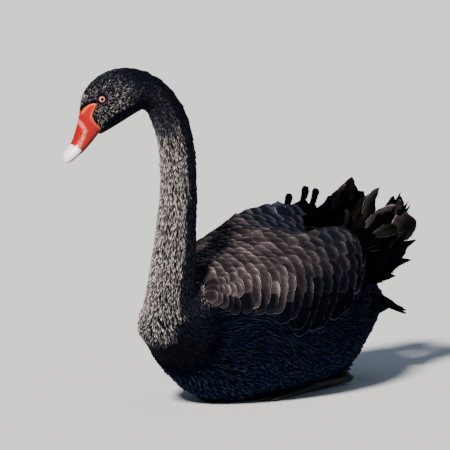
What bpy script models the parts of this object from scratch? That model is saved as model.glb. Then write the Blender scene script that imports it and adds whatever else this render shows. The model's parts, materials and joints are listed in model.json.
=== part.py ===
# Black swan, adult, resting on its belly as it floats: life size, in metres.
# The bird faces -Y, its left side is +X, and the floor is z = 0. The origin is the middle of the belly flat.
import math
import random

import bmesh
import bpy
from mathutils import Matrix, Vector

MM = 0.001
GAP = 0.3 * MM                 # clearance kept between neighbouring nodes
SEED = 11                      # seed of the small variations between feathers

# Sections
BODY_SIDES = 26                # points round one section of the body
NECK_SIDES = 18                # points round one section of the neck and head
REACH = 0.6                    # half the size of the blocks that trim the forms

# Head: turned to the bird's right about the upright upper neck
HEAD_TURN = math.radians(30)
NECK_AXIS_Y = -216.4 * MM      # where the upright neck axis stands
EYE = (116.2, 418.8)           # eye centre in mm, as (forward of the neck axis, height)
EYE_BALL = 5.6 * MM            # radius of the eyeball
EYE_OPENING = 4.2 * MM         # radius of the opening between the lids
LID = 0.9 * MM                 # radius of the rim of each lid
NOSTRIL = (140.7, 371.9)       # middle of the nostril in mm, as (forward, height)
NOSTRIL_SIZE = (4.6 * MM, 1.5 * MM, 2.4 * MM)

# Feathers
QUILL_SINK = 9 * MM            # how far a vane's root runs into what it grows from
VANE_THICK = 1.4 * MM          # thickness of a vane at its root
VANE_EDGE = 0.6 * MM           # thickness of a vane near its tip
WIDEST = 0.6                   # share of a vane's length where it is widest
ROOT_HALF = 0.45               # width of a vane at its root, as a share of the full width
CREEP = 1.6                    # crowds a vane's sections towards its rounded tip

random.seed(SEED)

for old in list(bpy.data.objects):
    bpy.data.objects.remove(old, do_unlink=True)

swan = bpy.data.collections.new("black_swan")
cutters = bpy.data.collections.new("cutters")
bpy.context.scene.collection.children.link(swan)
bpy.context.scene.collection.children.link(cutters)


# Materials
def material(name, colour, roughness, coat=0.0):
    made = bpy.data.materials.new(name)
    made.use_nodes = True
    shader = made.node_tree.nodes["Principled BSDF"]
    shader.inputs["Base Color"].default_value = (*colour, 1.0)
    shader.inputs["Roughness"].default_value = roughness
    shader.inputs["Metallic"].default_value = 0.0
    shader.inputs["Coat Weight"].default_value = coat
    return made


plumage = material("plumage", (0.020, 0.018, 0.018), 0.75)
wing_plumage = material("wing_plumage", (0.030, 0.026, 0.025), 0.6)
red_bill = material("red_bill", (0.72, 0.035, 0.015), 0.3, 0.4)
eye_red = material("eye_red", (0.45, 0.02, 0.02), 0.1, 0.8)
leg_skin = material("leg_skin", (0.022, 0.020, 0.020), 0.5)


# Smooth interpolation through stations, each a tuple whose first value is where it stands
def at(stations, where):
    last = len(stations) - 1
    i = 0
    while i < last - 1 and where > stations[i + 1][0]:
        i += 1
    before = stations[max(i - 1, 0)]
    a = stations[i]
    b = stations[i + 1]
    after = stations[min(i + 2, last)]
    span = b[0] - a[0]
    t = min(max((where - a[0]) / span, 0.0), 1.0)
    values = []
    for k in range(1, len(a)):
        slope_a = (b[k] - before[k]) / max(b[0] - before[0], 1e-9) * span
        slope_b = (after[k] - a[k]) / max(after[0] - a[0], 1e-9) * span
        h = t * t * (3 - 2 * t)
        values.append(a[k] * (1 - h) + b[k] * h + slope_a * t * (1 - t) ** 2 - slope_b * t * t * (1 - t))
    return values


def spread(first, last, count):
    return [first + (last - first) * i / (count - 1) for i in range(count)]


# Mesh helpers
def put(name, mesh, collection, look=None):
    made = bpy.data.objects.new(name, mesh)
    collection.objects.link(made)
    if look:
        made.data.materials.clear()
        made.data.materials.append(look)
    if collection is cutters:
        made.hide_render = True
        made.display_type = "WIRE"
    return made


def loft(name, rings, collection=cutters):
    # Skin over rings of equal count, with both ends closed by a fan
    count = len(rings[0])
    points = [p for ring in rings for p in ring]
    faces = []
    for r in range(len(rings) - 1):
        for i in range(count):
            j = (i + 1) % count
            a, b = r * count + i, r * count + j
            c, d = a + count, b + count
            faces += [(a, b, d), (a, d, c)]
    for r in (0, len(rings) - 1):
        centre = sum(rings[r], Vector()) / count
        points.append(centre)
        hub = len(points) - 1
        for i in range(count):
            faces.append((r * count + i, r * count + (i + 1) % count, hub))
    return closed(name, points, faces, collection)


def closed(name, points, faces, collection=cutters):
    mesh = bpy.data.meshes.new(name)
    mesh.from_pydata([tuple(p) for p in points], [], faces)
    work = bmesh.new()
    work.from_mesh(mesh)
    bmesh.ops.recalc_face_normals(work, faces=work.faces)
    work.to_mesh(mesh)
    work.free()
    return put(name, mesh, collection)


def settled(thing):
    # The object's mesh with its modifiers applied
    graph = bpy.context.evaluated_depsgraph_get()
    mesh = bpy.data.meshes.new_from_object(thing.evaluated_get(graph))
    thing.modifiers.clear()
    thing.data = mesh
    return thing


def combine(thing, others, operation, solver="EXACT"):
    # Boolean with a collection of closed meshes, which is then emptied
    tools = bpy.data.collections.new("tools")
    bpy.context.scene.collection.children.link(tools)
    for other in others:
        tools.objects.link(other)
    step = thing.modifiers.new("combine", "BOOLEAN")
    step.operation = operation
    step.operand_type = "COLLECTION"
    step.collection = tools
    step.solver = solver
    settled(thing)
    for other in others:
        bpy.data.objects.remove(other, do_unlink=True)
    bpy.data.collections.remove(tools)
    return thing


def shells(thing):
    # Faces of each connected surface, largest box first
    work = bmesh.new()
    work.from_mesh(thing.data)
    seen = set()
    found = []
    for start in work.verts:
        if start.index in seen:
            continue
        group = []
        stack = [start]
        seen.add(start.index)
        while stack:
            vert = stack.pop()
            group.append(vert.index)
            for edge in vert.link_edges:
                other = edge.other_vert(vert)
                if other.index not in seen:
                    seen.add(other.index)
                    stack.append(other)
        found.append(group)
    work.free()
    return sorted(found, key=len, reverse=True)


def keep_shell(thing, group):
    work = bmesh.new()
    work.from_mesh(thing.data)
    kept = set(group)
    drop = [v for v in work.verts if v.index not in kept]
    bmesh.ops.delete(work, geom=drop, context="VERTS")
    work.to_mesh(thing.data)
    work.free()
    return thing


def box(name, low, high):
    # A block between two corners
    mesh = bpy.data.meshes.new(name)
    work = bmesh.new()
    bmesh.ops.create_cube(work, size=1.0)
    size = Vector(high) - Vector(low)
    middle = (Vector(high) + Vector(low)) / 2
    bmesh.ops.scale(work, vec=size, verts=work.verts)
    bmesh.ops.translate(work, vec=middle, verts=work.verts)
    work.to_mesh(mesh)
    work.free()
    return put(name, mesh, cutters)


def floor_block():
    return box("floor_block", (-REACH, -REACH, -REACH), (REACH, REACH, 0.0))


def ball(name, centre, radii, segments, rows, turn=None):
    mesh = bpy.data.meshes.new(name)
    work = bmesh.new()
    bmesh.ops.create_uvsphere(work, u_segments=segments, v_segments=rows, radius=1.0)
    bmesh.ops.scale(work, vec=Vector(radii), verts=work.verts)
    if turn:
        bmesh.ops.rotate(work, cent=(0, 0, 0), matrix=turn, verts=work.verts)
    bmesh.ops.translate(work, vec=Vector(centre), verts=work.verts)
    work.to_mesh(mesh)
    work.free()
    return put(name, mesh, cutters)


# Torso: station y, keel height, back height, half width and height of the widest line, in mm
TORSO = [
    (-276, 106, 124, 14, 115),
    (-269, 94, 138, 30, 112),
    (-254, 80, 150, 43, 108),
    (-232, 60, 158, 55, 104),
    (-200, 28, 168, 72, 98),
    (-160, 4, 180, 92, 94),
    (-110, -5, 193, 109, 92),
    (-50, -6, 198, 116, 92),
    (30, -6, 189, 110, 92),
    (90, -3, 177, 92, 92),
    (135, 12, 164, 70, 94),
    (170, 36, 151, 53, 98),
    (200, 58, 137, 38, 102),
    (225, 78, 122, 22, 104),
]
TORSO_SECTIONS = (-276, -273, -263, -248, -228, -202, -172, -140, -105, -70,
                  -30, 10, 50, 85, 112, 138, 162, 186, 206, 225)


def torso_form(name, grow=0.0):
    rings = []
    for y in TORSO_SECTIONS:
        keel, back, half, widest = [v * MM for v in at(TORSO, y)]
        ring = []
        for i in range(BODY_SIDES):
            angle = 2 * math.pi * i / BODY_SIDES
            across = math.cos(angle)
            up = math.sin(angle)
            # The back is broad and the belly rounder, with a narrow keel
            if up > 0:
                x = math.copysign(abs(across) ** 0.86, across) * half
                z = widest + up ** 0.9 * (back - widest)
            else:
                x = across * half
                z = widest - abs(up) ** 1.3 * (widest - keel)
            ring.append(Vector((x, y * MM, z)) + Vector((across, 0, up)) * grow)
        rings.append(ring)
    rings[0] = [p + Vector((0, -grow, 0)) for p in rings[0]]
    rings[-1] = [p + Vector((0, grow, 0)) for p in rings[-1]]
    return loft(name, rings)


# Neck and head in one sweep. Each station has a number, then the outer and the inner point of the outline
# in mm, as (forward, height) in the neck's plane, the half width and the share of the head's turn.
NECK = [
    (0, -28, 92, 46, 98, 38, 0.0),
    (1, -26, 104, 56, 104, 41, 0.0),
    (2, -24, 120, 58.5, 116, 42, 0.0),
    (3, -18, 147, 54, 147, 36.5, 0.0),
    (4, -19.5, 187, 43.5, 187, 32, 0.0),
    (5, -22.5, 237, 34.5, 237, 28.5, 0.15),
    (6, -25.5, 279, 26.5, 279, 26, 0.5),
    (7, -24.5, 321, 25.5, 321, 25, 0.9),
    (8, -20.5, 360, 29, 355, 24.3, 1.0),
    (9, -10, 397, 37, 381, 24, 1.0),
    (10, 12, 430, 45, 396, 24.2, 1.0),
    (11, 42, 451, 53, 400, 25, 1.0),
    (12, 68, 458, 64, 396, 25.6, 1.0),
    (13, 92, 457, 77, 388.5, 25.6, 1.0),
    (14, 112, 449.5, 90, 381, 24.6, 1.0),
    (15, 127, 437.5, 101, 375, 22.2, 1.0),
    (16, 136.5, 423, 108.5, 371.5, 19.2, 1.0),
    (17, 139, 409, 113, 370.5, 16.6, 1.0),
    (18, 139.5, 401, 114.5, 371.5, 15.2, 1.0),
    (19, 141.5, 391, 117.5, 368.5, 14.2, 1.0),
    (20, 145.2, 378, 124.5, 360.5, 13.2, 1.0),
    (21, 149.2, 366, 132, 353, 12.8, 1.0),
    (22, 154.0, 357.5, 139.5, 346.5, 13.0, 1.0),
    (23, 159.8, 351, 147, 340.5, 12.4, 1.0),
    (24, 163.0, 344, 152.5, 335.5, 9.6, 1.0),
    (25, 162.0, 336, 156, 333.5, 4.5, 1.0),
]


NECK_SECTIONS = spread(0, 7, 9) + spread(7.6, 16, 15) + spread(16.5, 25, 15)


def neck_point(forward, height, aside, turned):
    # A point of the neck's plane, which swings to the bird's right by a share of the head's turn
    angle = HEAD_TURN * turned
    x = -forward * math.sin(angle) + aside * math.cos(angle)
    y = NECK_AXIS_Y - forward * math.cos(angle) - aside * math.sin(angle)
    return Vector((x, y, height))


HEAD_FORWARD = (neck_point(1, 0, 0, 1) - neck_point(0, 0, 0, 1)).normalized()
HEAD_ASIDE = (neck_point(0, 0, 1, 1) - neck_point(0, 0, 0, 1)).normalized()


def neck_ring(where):
    of, oh, inf, inh, half, turned = at(NECK, where)
    # The crown is narrower than the cheeks, and the bill narrows to a ridge
    crown = min(max((where - 11) / 3, 0.0), 1.0)
    bill = min(max((where - 17) / 2, 0.0), 1.0)
    ring = []
    for i in range(NECK_SIDES):
        angle = 2 * math.pi * i / NECK_SIDES
        along = math.cos(angle)
        across = math.sin(angle)
        share = 0.5 + 0.5 * math.copysign(abs(along) ** (1.0 - 0.12 * bill), along)
        forward = inf + (of - inf) * share
        height = inh + (oh - inh) * share
        narrowing = 1.0 - (0.16 * crown * (1 - bill) + 0.30 * bill) * max(along, 0.0)
        side = math.copysign(abs(across) ** (1.0 - 0.15 * bill), across) * half * narrowing
        ring.append(neck_point(forward * MM, height * MM, side * MM, turned))
    return ring


def wall(name, centre, facing, size=0.11):
    # A flat cutter of one gap's thickness
    turn = facing.normalized().to_track_quat("Z", "Y").to_matrix()
    mesh = bpy.data.meshes.new(name)
    work = bmesh.new()
    bmesh.ops.create_cube(work, size=1.0)
    bmesh.ops.scale(work, vec=Vector((size, size, GAP)), verts=work.verts)
    bmesh.ops.rotate(work, cent=(0, 0, 0), matrix=turn, verts=work.verts)
    bmesh.ops.translate(work, vec=centre, verts=work.verts)
    work.to_mesh(mesh)
    work.free()
    return put(name, mesh, cutters)


def neck_wall(name, where, lean=0.0):
    ring = neck_ring(where)
    ahead = neck_ring(where + 0.1)
    centre = sum(ring, Vector()) / len(ring)
    along = sum(ahead, Vector()) / len(ahead) - centre
    return wall(name, centre, Matrix.Rotation(lean, 3, "X") @ along)


def head_curtain(name, line, reach=40 * MM):
    # A thin cutter across the head that follows a line of (forward, height) points in mm
    points = [Vector((f * MM, h * MM)) for f, h in line]
    last = len(points) - 1
    above = []
    below = []
    for i, p in enumerate(points):
        incoming = p - points[i - 1] if i > 0 else points[1] - p
        outgoing = points[i + 1] - p if i < last else incoming
        n1 = Vector((-incoming.y, incoming.x)).normalized()
        n2 = Vector((-outgoing.y, outgoing.x)).normalized()
        mid = (n1 + n2).normalized()
        mid *= GAP / 2 / max(mid.dot(n1), 0.35)
        above.append(p + mid)
        below.append(p - mid)
    outline = above + below[::-1]
    count = len(outline)
    verts = [neck_point(p.x, p.y, side, 1.0) for side in (-reach, reach) for p in outline]
    faces = []
    for base in (0, count):
        for i in range(last):
            a, b = base + i, base + i + 1
            c, d = base + count - 1 - i, base + count - 2 - i
            faces += [(a, b, d), (a, d, c)]
    for i in range(count):
        j = (i + 1) % count
        faces += [(i, j, j + count), (i, j + count, i + count)]
    return closed(name, verts, faces)


# The edge of the plumage round the bill and the bare skin before the eye, and the line of the mouth
FEATHER_EDGE = [(151, 396), (139, 401), (136.2, 406.4), (132.1, 411.2), (126.5, 413.6), (121.6, 412.8),
                (124.8, 408.0), (127.6, 400.4), (128.6, 395.9), (126.6, 391.3), (123.2, 386.6),
                (117.5, 382), (114.5, 379.5), (115.8, 374.5), (118, 368), (121, 357)]
MOUTH = [(112.7, 381.6), (118.5, 375.4), (127, 366), (136, 356), (144, 348.4), (151, 342.2), (157, 338),
         (168, 333)]


def surface_at(thing, spot, side):
    # Where a line across the head meets its surface, on the bird's left (+1) or right (-1)
    outside = neck_point(spot[0] * MM, spot[1] * MM, side * 60 * MM, 1.0)
    hit, point, normal, face = thing.ray_cast(outside, -side * HEAD_ASIDE)
    return point


def eye_out(side):
    # The eyes look a little forward and up
    return (HEAD_ASIDE * side + HEAD_FORWARD * 0.2 + Vector((0, 0, 0.1))).normalized()


def eye_centre(thing, side):
    return surface_at(thing, EYE, side) - eye_out(side) * math.sqrt(EYE_BALL ** 2 - EYE_OPENING ** 2)


def lids(centre, out):
    # The rim of the lids, a small ring round the opening
    turn = out.to_track_quat("Z", "Y").to_matrix()
    rim = centre + out * (math.sqrt(EYE_BALL ** 2 - EYE_OPENING ** 2) + 0.1 * MM)
    around = 14
    sides = 5
    verts = []
    for i in range(around):
        a = 2 * math.pi * i / around
        for k in range(sides):
            b = 2 * math.pi * k / sides
            radius = EYE_OPENING + LID * (1.15 + math.cos(b))
            spot = Vector((math.cos(a) * radius, math.sin(a) * radius * 0.92, LID * math.sin(b)))
            verts.append(rim + turn @ spot)
    faces = []
    for i in range(around):
        j = (i + 1) % around
        for k in range(sides):
            m = (k + 1) % sides
            a, b, c, d = i * sides + k, i * sides + m, j * sides + m, j * sides + k
            faces += [(a, b, c), (a, c, d)]
    return closed("lids", verts, faces)


# Where each part of the flesh lies, to name the pieces that the thin cuts leave
FLESH_NODES = {
    "torso": Vector((0, -0.02, 0.09)),
    "neck_lower": Vector((0, -0.228, 0.180)),
    "neck_middle": Vector((0, -0.217, 0.260)),
    "neck_upper": neck_point(5 * MM, 360 * MM, 0, 1.0),
    "head": neck_point(90 * MM, 420 * MM, 0, 1.0),
    "bill_upper": neck_point(138 * MM, 375 * MM, 0, 1.0),
    "bill_lower": neck_point(130 * MM, 356 * MM, 0, 1.0),
}


def build_flesh():
    body = torso_form("flesh")
    combine(body, [loft("neck", [neck_ring(w) for w in NECK_SECTIONS])], "UNION")
    centres = {side: eye_centre(body, side) for side in (1, -1)}
    combine(body, [lids(centres[side], eye_out(side)) for side in centres], "UNION")
    cuts = [floor_block()]
    cuts.append(neck_wall("breast_cut", 3.2, math.radians(30)))
    cuts.append(neck_wall("neck_cut_low", 4.6))
    cuts.append(neck_wall("neck_cut_high", 6.7))
    cuts.append(neck_wall("nape_cut", 11.2))
    cuts.append(head_curtain("feather_edge", FEATHER_EDGE))
    cuts.append(head_curtain("mouth", MOUTH))
    for side, centre in centres.items():
        cuts.append(ball("socket", centre, [EYE_BALL + GAP] * 3, 14, 10))
        along_bill = Vector((HEAD_FORWARD.x * 0.35, HEAD_FORWARD.y * 0.35, -0.94))
        turn = Matrix((along_bill, HEAD_ASIDE.cross(along_bill), HEAD_ASIDE)).transposed()
        cuts.append(ball("nostril", surface_at(body, NOSTRIL, side), NOSTRIL_SIZE, 12, 8, turn))
    cuts += [foot_form("foot_room", side, GAP) for side in (1, -1)]
    for cut in cuts:
        combine(body, [cut], "DIFFERENCE")
    pieces = shells(body)
    for name, place in FLESH_NODES.items():
        def off(group):
            middle = sum((body.data.vertices[i].co for i in group), Vector()) / len(group)
            return (middle - place).length
        part = put(name, body.data.copy(), swan)
        keep_shell(part, min(pieces[:len(FLESH_NODES)], key=off))
        look = red_bill if name.startswith("bill") else plumage
        part.data.materials.clear()
        part.data.materials.append(look)
    bpy.data.objects.remove(body, do_unlink=True)
    for side, word in ((1, "left"), (-1, "right")):
        finish(ball("eye_" + word, centres[side], [EYE_BALL] * 3, 14, 10), eye_red)


# Feet, folded under the belly: each leads from the heel forward, with three webbed toes and a hind toe
HEEL = (50, 100, 9)
KNEE = (44, 50, 62)
TOE_BASE = (52, 12, 8)
TOES = {"middle": (53, -112, 4), "inner": (40, -94, 4), "outer": (67, -100, 4)}


def tube(name, stops, grow, sides=7):
    # A tapered limb through (x, y, z, radius) stops in mm, a little flatter than wide
    rings = []
    for x, y, z, radius in stops:
        wide = radius * MM + grow
        ring = []
        for i in range(sides):
            a = 2 * math.pi * i / sides
            high = radius * 0.8 * MM + grow
            ring.append(Vector((x * MM + math.cos(a) * wide, y * MM, z * MM + math.sin(a) * high)))
        rings.append(ring)
    for end, near in ((0, 1), (-1, -2)):
        along = (Vector(stops[end][:3]) - Vector(stops[near][:3])).normalized()
        rings[end] = [p + along * grow * 1.5 for p in rings[end]]
    return loft(name, rings)


def foot_form(name, side, grow=0.0):
    hx, hy, hz = HEEL
    tx, ty, tz = TOE_BASE
    shank = [(side * hx, hy + 8, hz, 4.5), (side * hx, hy, hz, 8), (side * hx, hy - 12, hz - 1, 7),
             (side * tx, ty + 20, tz, 6.4), (side * tx, ty, tz - 1, 8), (side * tx, ty - 10, tz - 2, 6)]
    foot = tube(name, shank, grow)
    kx, ky, kz = KNEE
    calf = [(side * hx, hy - 4, hz + 3, 8), (side * (kx + hx) / 2, (ky + hy) / 2, (kz + hz) / 2, 12),
            (side * kx, ky, kz, 17)]
    pieces = [tube("calf", calf, grow, 8)]
    for x, y, z in TOES.values():
        stops = [(side * tx, ty + 2, tz - 2, 5)]
        for t, radius in ((0.4, 4.4), (0.88, 3.4), (0.93, 2.0), (1.0, 0.8)):
            stops.append((side * (tx + (x - tx) * t), ty + (y - ty) * t, tz - 2 + (z - tz + 1) * t, radius))
        pieces.append(tube("toe", stops, grow, 6))
    hind = [(side * (tx - 12), ty + 28, 2.5, 1.0), (side * (tx - 9), ty + 18, 4, 2.8),
            (side * (tx - 4), ty + 6, 7, 3.4)]
    pieces.append(tube("hind_toe", hind, grow, 6))
    inner, middle, outer = TOES["inner"], TOES["middle"], TOES["outer"]
    web = [(tx, ty), (inner[0], inner[1] + 16), (tx - 3, inner[1] + 10), (middle[0], middle[1] + 20),
           (tx + 8, outer[1] + 14), (outer[0], outer[1] + 14)]
    low, high = 1.0 * MM - grow, 2.6 * MM + grow
    verts = [Vector((side * x * MM, y * MM, z)) for z in (low, high) for x, y in web]
    count = len(web)
    faces = [(0, 1, 2), (0, 2, 3), (0, 3, 4), (0, 4, 5)]
    faces += [tuple(i + count for i in face) for face in faces]
    for i in range(count):
        j = (i + 1) % count
        faces += [(i, j, j + count), (i, j + count, i + count)]
    pieces.append(closed("web", verts, faces))
    combine(foot, pieces, "UNION")
    keep_shell(foot, shells(foot)[0])
    if not grow:
        combine(foot, [floor_block()], "DIFFERENCE")
    return foot


# Feathers: a thin vane bowed from root to tip, convex on its outer face
def vane(root, tip, face, bend, width, point=0.42, steps=3, camber=0.22, bend_at=0.5):
    axis = (tip - root).normalized()
    side = axis.cross(face).normalized()
    up = side.cross(axis).normalized()
    start = root - axis * QUILL_SINK
    control = start.lerp(tip, bend_at) + up * bend
    verts = []
    for i in range(steps + 1):
        t = 1 - (1 - i / steps) ** CREEP
        centre = start * (1 - t) ** 2 + control * 2 * t * (1 - t) + tip * t * t
        run = (control - start) * (1 - t) + (tip - control) * t
        normal = side.cross(run).normalized()
        swell = math.sin(math.pi / 2 * min(t / WIDEST, 1.0))
        fall = math.sqrt(1 - (max(t - WIDEST, 0.0) / (1 - WIDEST)) ** 2)
        half = width / 2 * (ROOT_HALF + (1 - ROOT_HALF) * swell) * (point + (1 - point) * fall)
        deep = (VANE_THICK + (VANE_EDGE - VANE_THICK) * t) / 2
        left, mid, right = [centre + side * half * j - normal * half * camber * abs(j) for j in (-1, 0, 1)]
        rise = normal * deep
        verts += [left + rise, mid + rise, right + rise, right - rise, mid - rise, left - rise]
    faces = []
    for i in range(steps):
        a = i * 6
        b = a + 6
        for j in (0, 1):
            faces += [(a + j, a + j + 1, b + j + 1), (a + j, b + j + 1, b + j)]
            k = 5 - j
            faces += [(a + k, b + k - 1, a + k - 1), (a + k, b + k, b + k - 1)]
        faces += [(a + 2, a + 3, b + 3), (a + 2, b + 3, b + 2)]
        faces += [(a + 5, a, b), (a + 5, b, b + 5)]
    for base in (0, steps * 6):
        faces += [(base, base + 1, base + 4), (base, base + 4, base + 5)]
        faces += [(base + 1, base + 2, base + 3), (base + 1, base + 3, base + 4)]
    return closed("vane", verts, faces)


# Wings: station y, then (x, z) in mm of the inner foot, the ridge, the widest line and the lower edge.
# The left wing is folded lower than the right one.
WING_LEFT = [
    (-215, 20, 132, 34, 138, 44, 126, 44, 114),
    (-180, 24, 154, 47, 165, 74, 144, 80, 121),
    (-140, 26, 174, 60, 185, 99, 155, 105, 112),
    (-95, 22, 185, 65, 195, 113, 155, 116, 104),
    (-50, 18, 189, 65, 203, 118, 152, 117, 96),
    (0, 15, 185, 65, 213, 117, 149, 112, 89),
    (40, 14, 181, 64, 218, 108, 149, 100, 94),
    (75, 14, 177, 60, 214, 92, 154, 84, 114),
    (102, 15, 172, 52, 202, 75, 160, 69, 138),
]
WING_RIGHT = [
    (-215, 20, 132, 34, 138, 44, 126, 44, 114),
    (-180, 24, 154, 47, 166, 74, 145, 80, 121),
    (-140, 26, 174, 60, 186, 99, 156, 105, 112),
    (-95, 22, 186, 66, 196, 113, 157, 116, 104),
    (-50, 18, 190, 67, 212, 118, 158, 117, 96),
    (0, 15, 188, 67, 226, 118, 158, 112, 91),
    (50, 14, 184, 67, 234, 110, 160, 100, 96),
    (100, 14, 181, 64, 235, 94, 164, 85, 117),
    (145, 15, 175, 58, 226, 76, 170, 69, 138),
]


def wing_stations(side):
    return WING_LEFT if side > 0 else WING_RIGHT


def wing_point(side, y, v):
    # Outer face of the folded wing: v runs from 0 at the inner foot over the ridge to 1 at the lower edge
    ix, iz, rx, rz, wx, wz, lx, lz = at(wing_stations(side), y)
    shoulder = (0.5, (rx + wx) / 2 + 8, (rz + wz) / 2 + 8)
    across = [(0.0, ix, iz), (0.3, rx, rz), shoulder, (0.72, wx, wz), (1.0, lx, lz)]
    x, z = at(across, v)
    return Vector((side * x * MM, y * MM, z * MM))


def wing_normal(side, y, v):
    along = wing_point(side, y + 2, v) - wing_point(side, y - 2, v)
    across = wing_point(side, y, min(v + 0.02, 1.0)) - wing_point(side, y, max(v - 0.02, 0.0))
    normal = along.cross(across).normalized()
    return normal * -side


def wing_core(name, side):
    rings = []
    for y in spread(wing_stations(side)[0][0], wing_stations(side)[-1][0], 14):
        ring = [wing_point(side, y, v) for v in spread(0, 1, 10)]
        low = ring[-1]
        inner = ring[0]
        ring.append(Vector((low.x - side * 30 * MM, y * MM, low.z + 4 * MM)))
        ring.append(Vector((side * 40 * MM, y * MM, 128 * MM)))
        ring.append(Vector((inner.x + side * 6 * MM, y * MM, inner.z - 22 * MM)))
        rings.append(ring)
    return loft(name, rings)


# Rows of feathers on each wing: v, first and last y, count, length, width, slope and lift of the tip, in mm.
# A slope of 0 points straight back and 1 straight down the wing.
WING_ROWS = [
    (0.12, -40, 58, 4, 60, 38, 0.05, 5),
    (0.29, -62, 60, 5, 58, 38, 0.20, 4),
    (0.46, -96, 50, 5, 60, 42, 0.36, 2),
    (0.63, -104, 36, 5, 58, 40, 0.52, -3),
    (0.80, -98, 14, 4, 58, 40, 0.58, -9),
]


def wing_vane(side, y, v, length, width, slope, lift):
    root = wing_point(side, y, v)
    normal = wing_normal(side, y, v)
    down = (wing_point(side, y, min(v + 0.03, 1.0)) - wing_point(side, y, max(v - 0.03, 0.0))).normalized()
    back = down.cross(normal).normalized()
    if back.y < 0:
        back = -back
    along = (back * (1 - slope) + down * slope).normalized()
    tip = root + along * length + normal * lift
    return vane(root - normal * 1.5 * MM, tip, normal, 4 * MM, width)


def wing_rows(side):
    # The rows are stretched to the length of this wing
    stretch = (wing_stations(side)[-1][0] + 130) / (WING_LEFT[-1][0] + 130)
    pieces = []
    for v, first, last, count, length, width, slope, lift in WING_ROWS:
        for y in spread(first, last, count):
            vary = random.uniform(0.92, 1.08)
            turn = random.uniform(-0.04, 0.04)
            place = -130 + (y + 130) * stretch
            pieces.append(wing_vane(side, place, v, length * vary * MM, width * MM, slope + turn, lift * MM))
    return pieces


# Ruffled feathers behind each wing: share of the fan, then root and tip (x, y, z) in mm, from the top down
RUFFLE_LEFT = [
    (0.0, 22, 88, 198, 6, 294, 250),
    (0.25, 36, 96, 200, 27, 281, 239),
    (0.5, 50, 98, 190, 48, 268, 210),
    (0.65, 58, 96, 176, 52, 260, 185),
    (0.8, 60, 93, 160, 42, 260, 156),
    (1.0, 58, 88, 140, 34, 234, 138),
]
RUFFLE_RIGHT = [
    (0.0, 22, 118, 206, 32, 294, 252),
    (0.25, 40, 128, 220, 66, 276, 265),
    (0.5, 56, 130, 212, 82, 262, 236),
    (0.65, 62, 128, 196, 80, 256, 204),
    (0.8, 64, 123, 176, 66, 252, 168),
    (1.0, 60, 113, 148, 46, 234, 142),
]
RUFFLE_COUNT = 8
RUFFLE_INNER = 3               # shorter feathers in front of the fan
RUFFLE_TILT = (-20, 95)        # degrees the faces are turned outward, at the top and at the bottom of the fan
# Tips of the curled feathers on the right wing's ridge
CURLS = [(-75, 133, 254), (-70, 160, 262), (-64, 180, 260)]
CURL_RUN = (8, -42, -38)       # from the tip of a curled feather to its root
PRIMARY_ROOT = (96, 160)       # y and z of the roots of the flight feathers that show below the fan
PRIMARIES = [(30, 14, 232, 152), (36, 22, 244, 147), (42, 30, 236, 141)]    # root x, then the tip


def ruffle_vane(side, share, reach, width, bend):
    rx, ry, rz, tx, ty, tz = at(RUFFLE_LEFT if side > 0 else RUFFLE_RIGHT, share)
    root = Vector((side * rx, ry, rz)) * MM
    tip = root + (Vector((side * tx, ty, tz)) * MM - root) * reach
    tilt = math.radians(RUFFLE_TILT[0] + (RUFFLE_TILT[1] - RUFFLE_TILT[0]) * share)
    face = Vector((side * math.sin(tilt), 0, math.cos(tilt)))
    return vane(root, tip, face, bend, width, point=0.12, bend_at=0.68)


def ruffle(side):
    pieces = []
    for i in range(RUFFLE_COUNT):
        share = (i + random.uniform(-0.2, 0.2)) / (RUFFLE_COUNT - 1)
        share = min(max(share, 0.0), 1.0)
        reach = random.uniform(0.9, 1.0)
        width = random.uniform(26, 34) * MM
        pieces.append(ruffle_vane(side, share, reach, width, random.uniform(-20, -12) * MM))
    for i in range(RUFFLE_INNER):
        share = 0.08 + 0.7 * i / (RUFFLE_INNER - 1)
        pieces.append(ruffle_vane(side, share, random.uniform(0.55, 0.72), 32 * MM, -9 * MM))
    return pieces


def wing(name, side):
    core = wing_core(name, side)
    pieces = wing_rows(side) + ruffle(side)
    for root_x, tip_x, tip_y, tip_z in PRIMARIES:
        root = Vector((side * root_x, *PRIMARY_ROOT)) * MM
        tip = Vector((side * tip_x, tip_y, tip_z)) * MM
        pieces.append(vane(root, tip, Vector((0, 0, 1)), 5 * MM, 22 * MM, point=0.2))
    if side < 0:
        for x, y, z in CURLS:
            tip = Vector((x, y, z)) * MM
            root = tip + Vector(CURL_RUN) * MM
            pieces.append(vane(root, tip, Vector((0, 0, 1)), -9 * MM, 11 * MM, point=0.5, bend_at=0.75))
    combine(core, pieces, "UNION", "MANIFOLD")
    # Both wings stop half a gap from the middle of the back
    low, high = sorted((-side * REACH, side * GAP / 2))
    combine(core, [torso_form("grown_torso", GAP)], "DIFFERENCE", "MANIFOLD")
    combine(core, [box("middle_block", (low, -REACH, 0), (high, REACH, REACH))], "DIFFERENCE", "MANIFOLD")
    return finish(core, wing_plumage)


def finish(thing, look):
    keep_shell(thing, shells(thing)[0])
    cutters.objects.unlink(thing)
    swan.objects.link(thing)
    thing.hide_render = False
    thing.display_type = "TEXTURED"
    thing.data.materials.clear()
    thing.data.materials.append(look)
    return thing


# Tail: a low fan that trails at the water line, under a tier of shorter coverts, in mm
TAIL_ROOT = (0, 200, 112)
TAIL_TIP = (0, 289, 84)
TAIL_BASE = (0, 218, 105)      # middle of the plain form that the feathers grow from
TAIL_BASE_SIZE = (28, 34, 16)
TAIL_FEATHERS = 9
TAIL_COVERTS = 4


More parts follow.
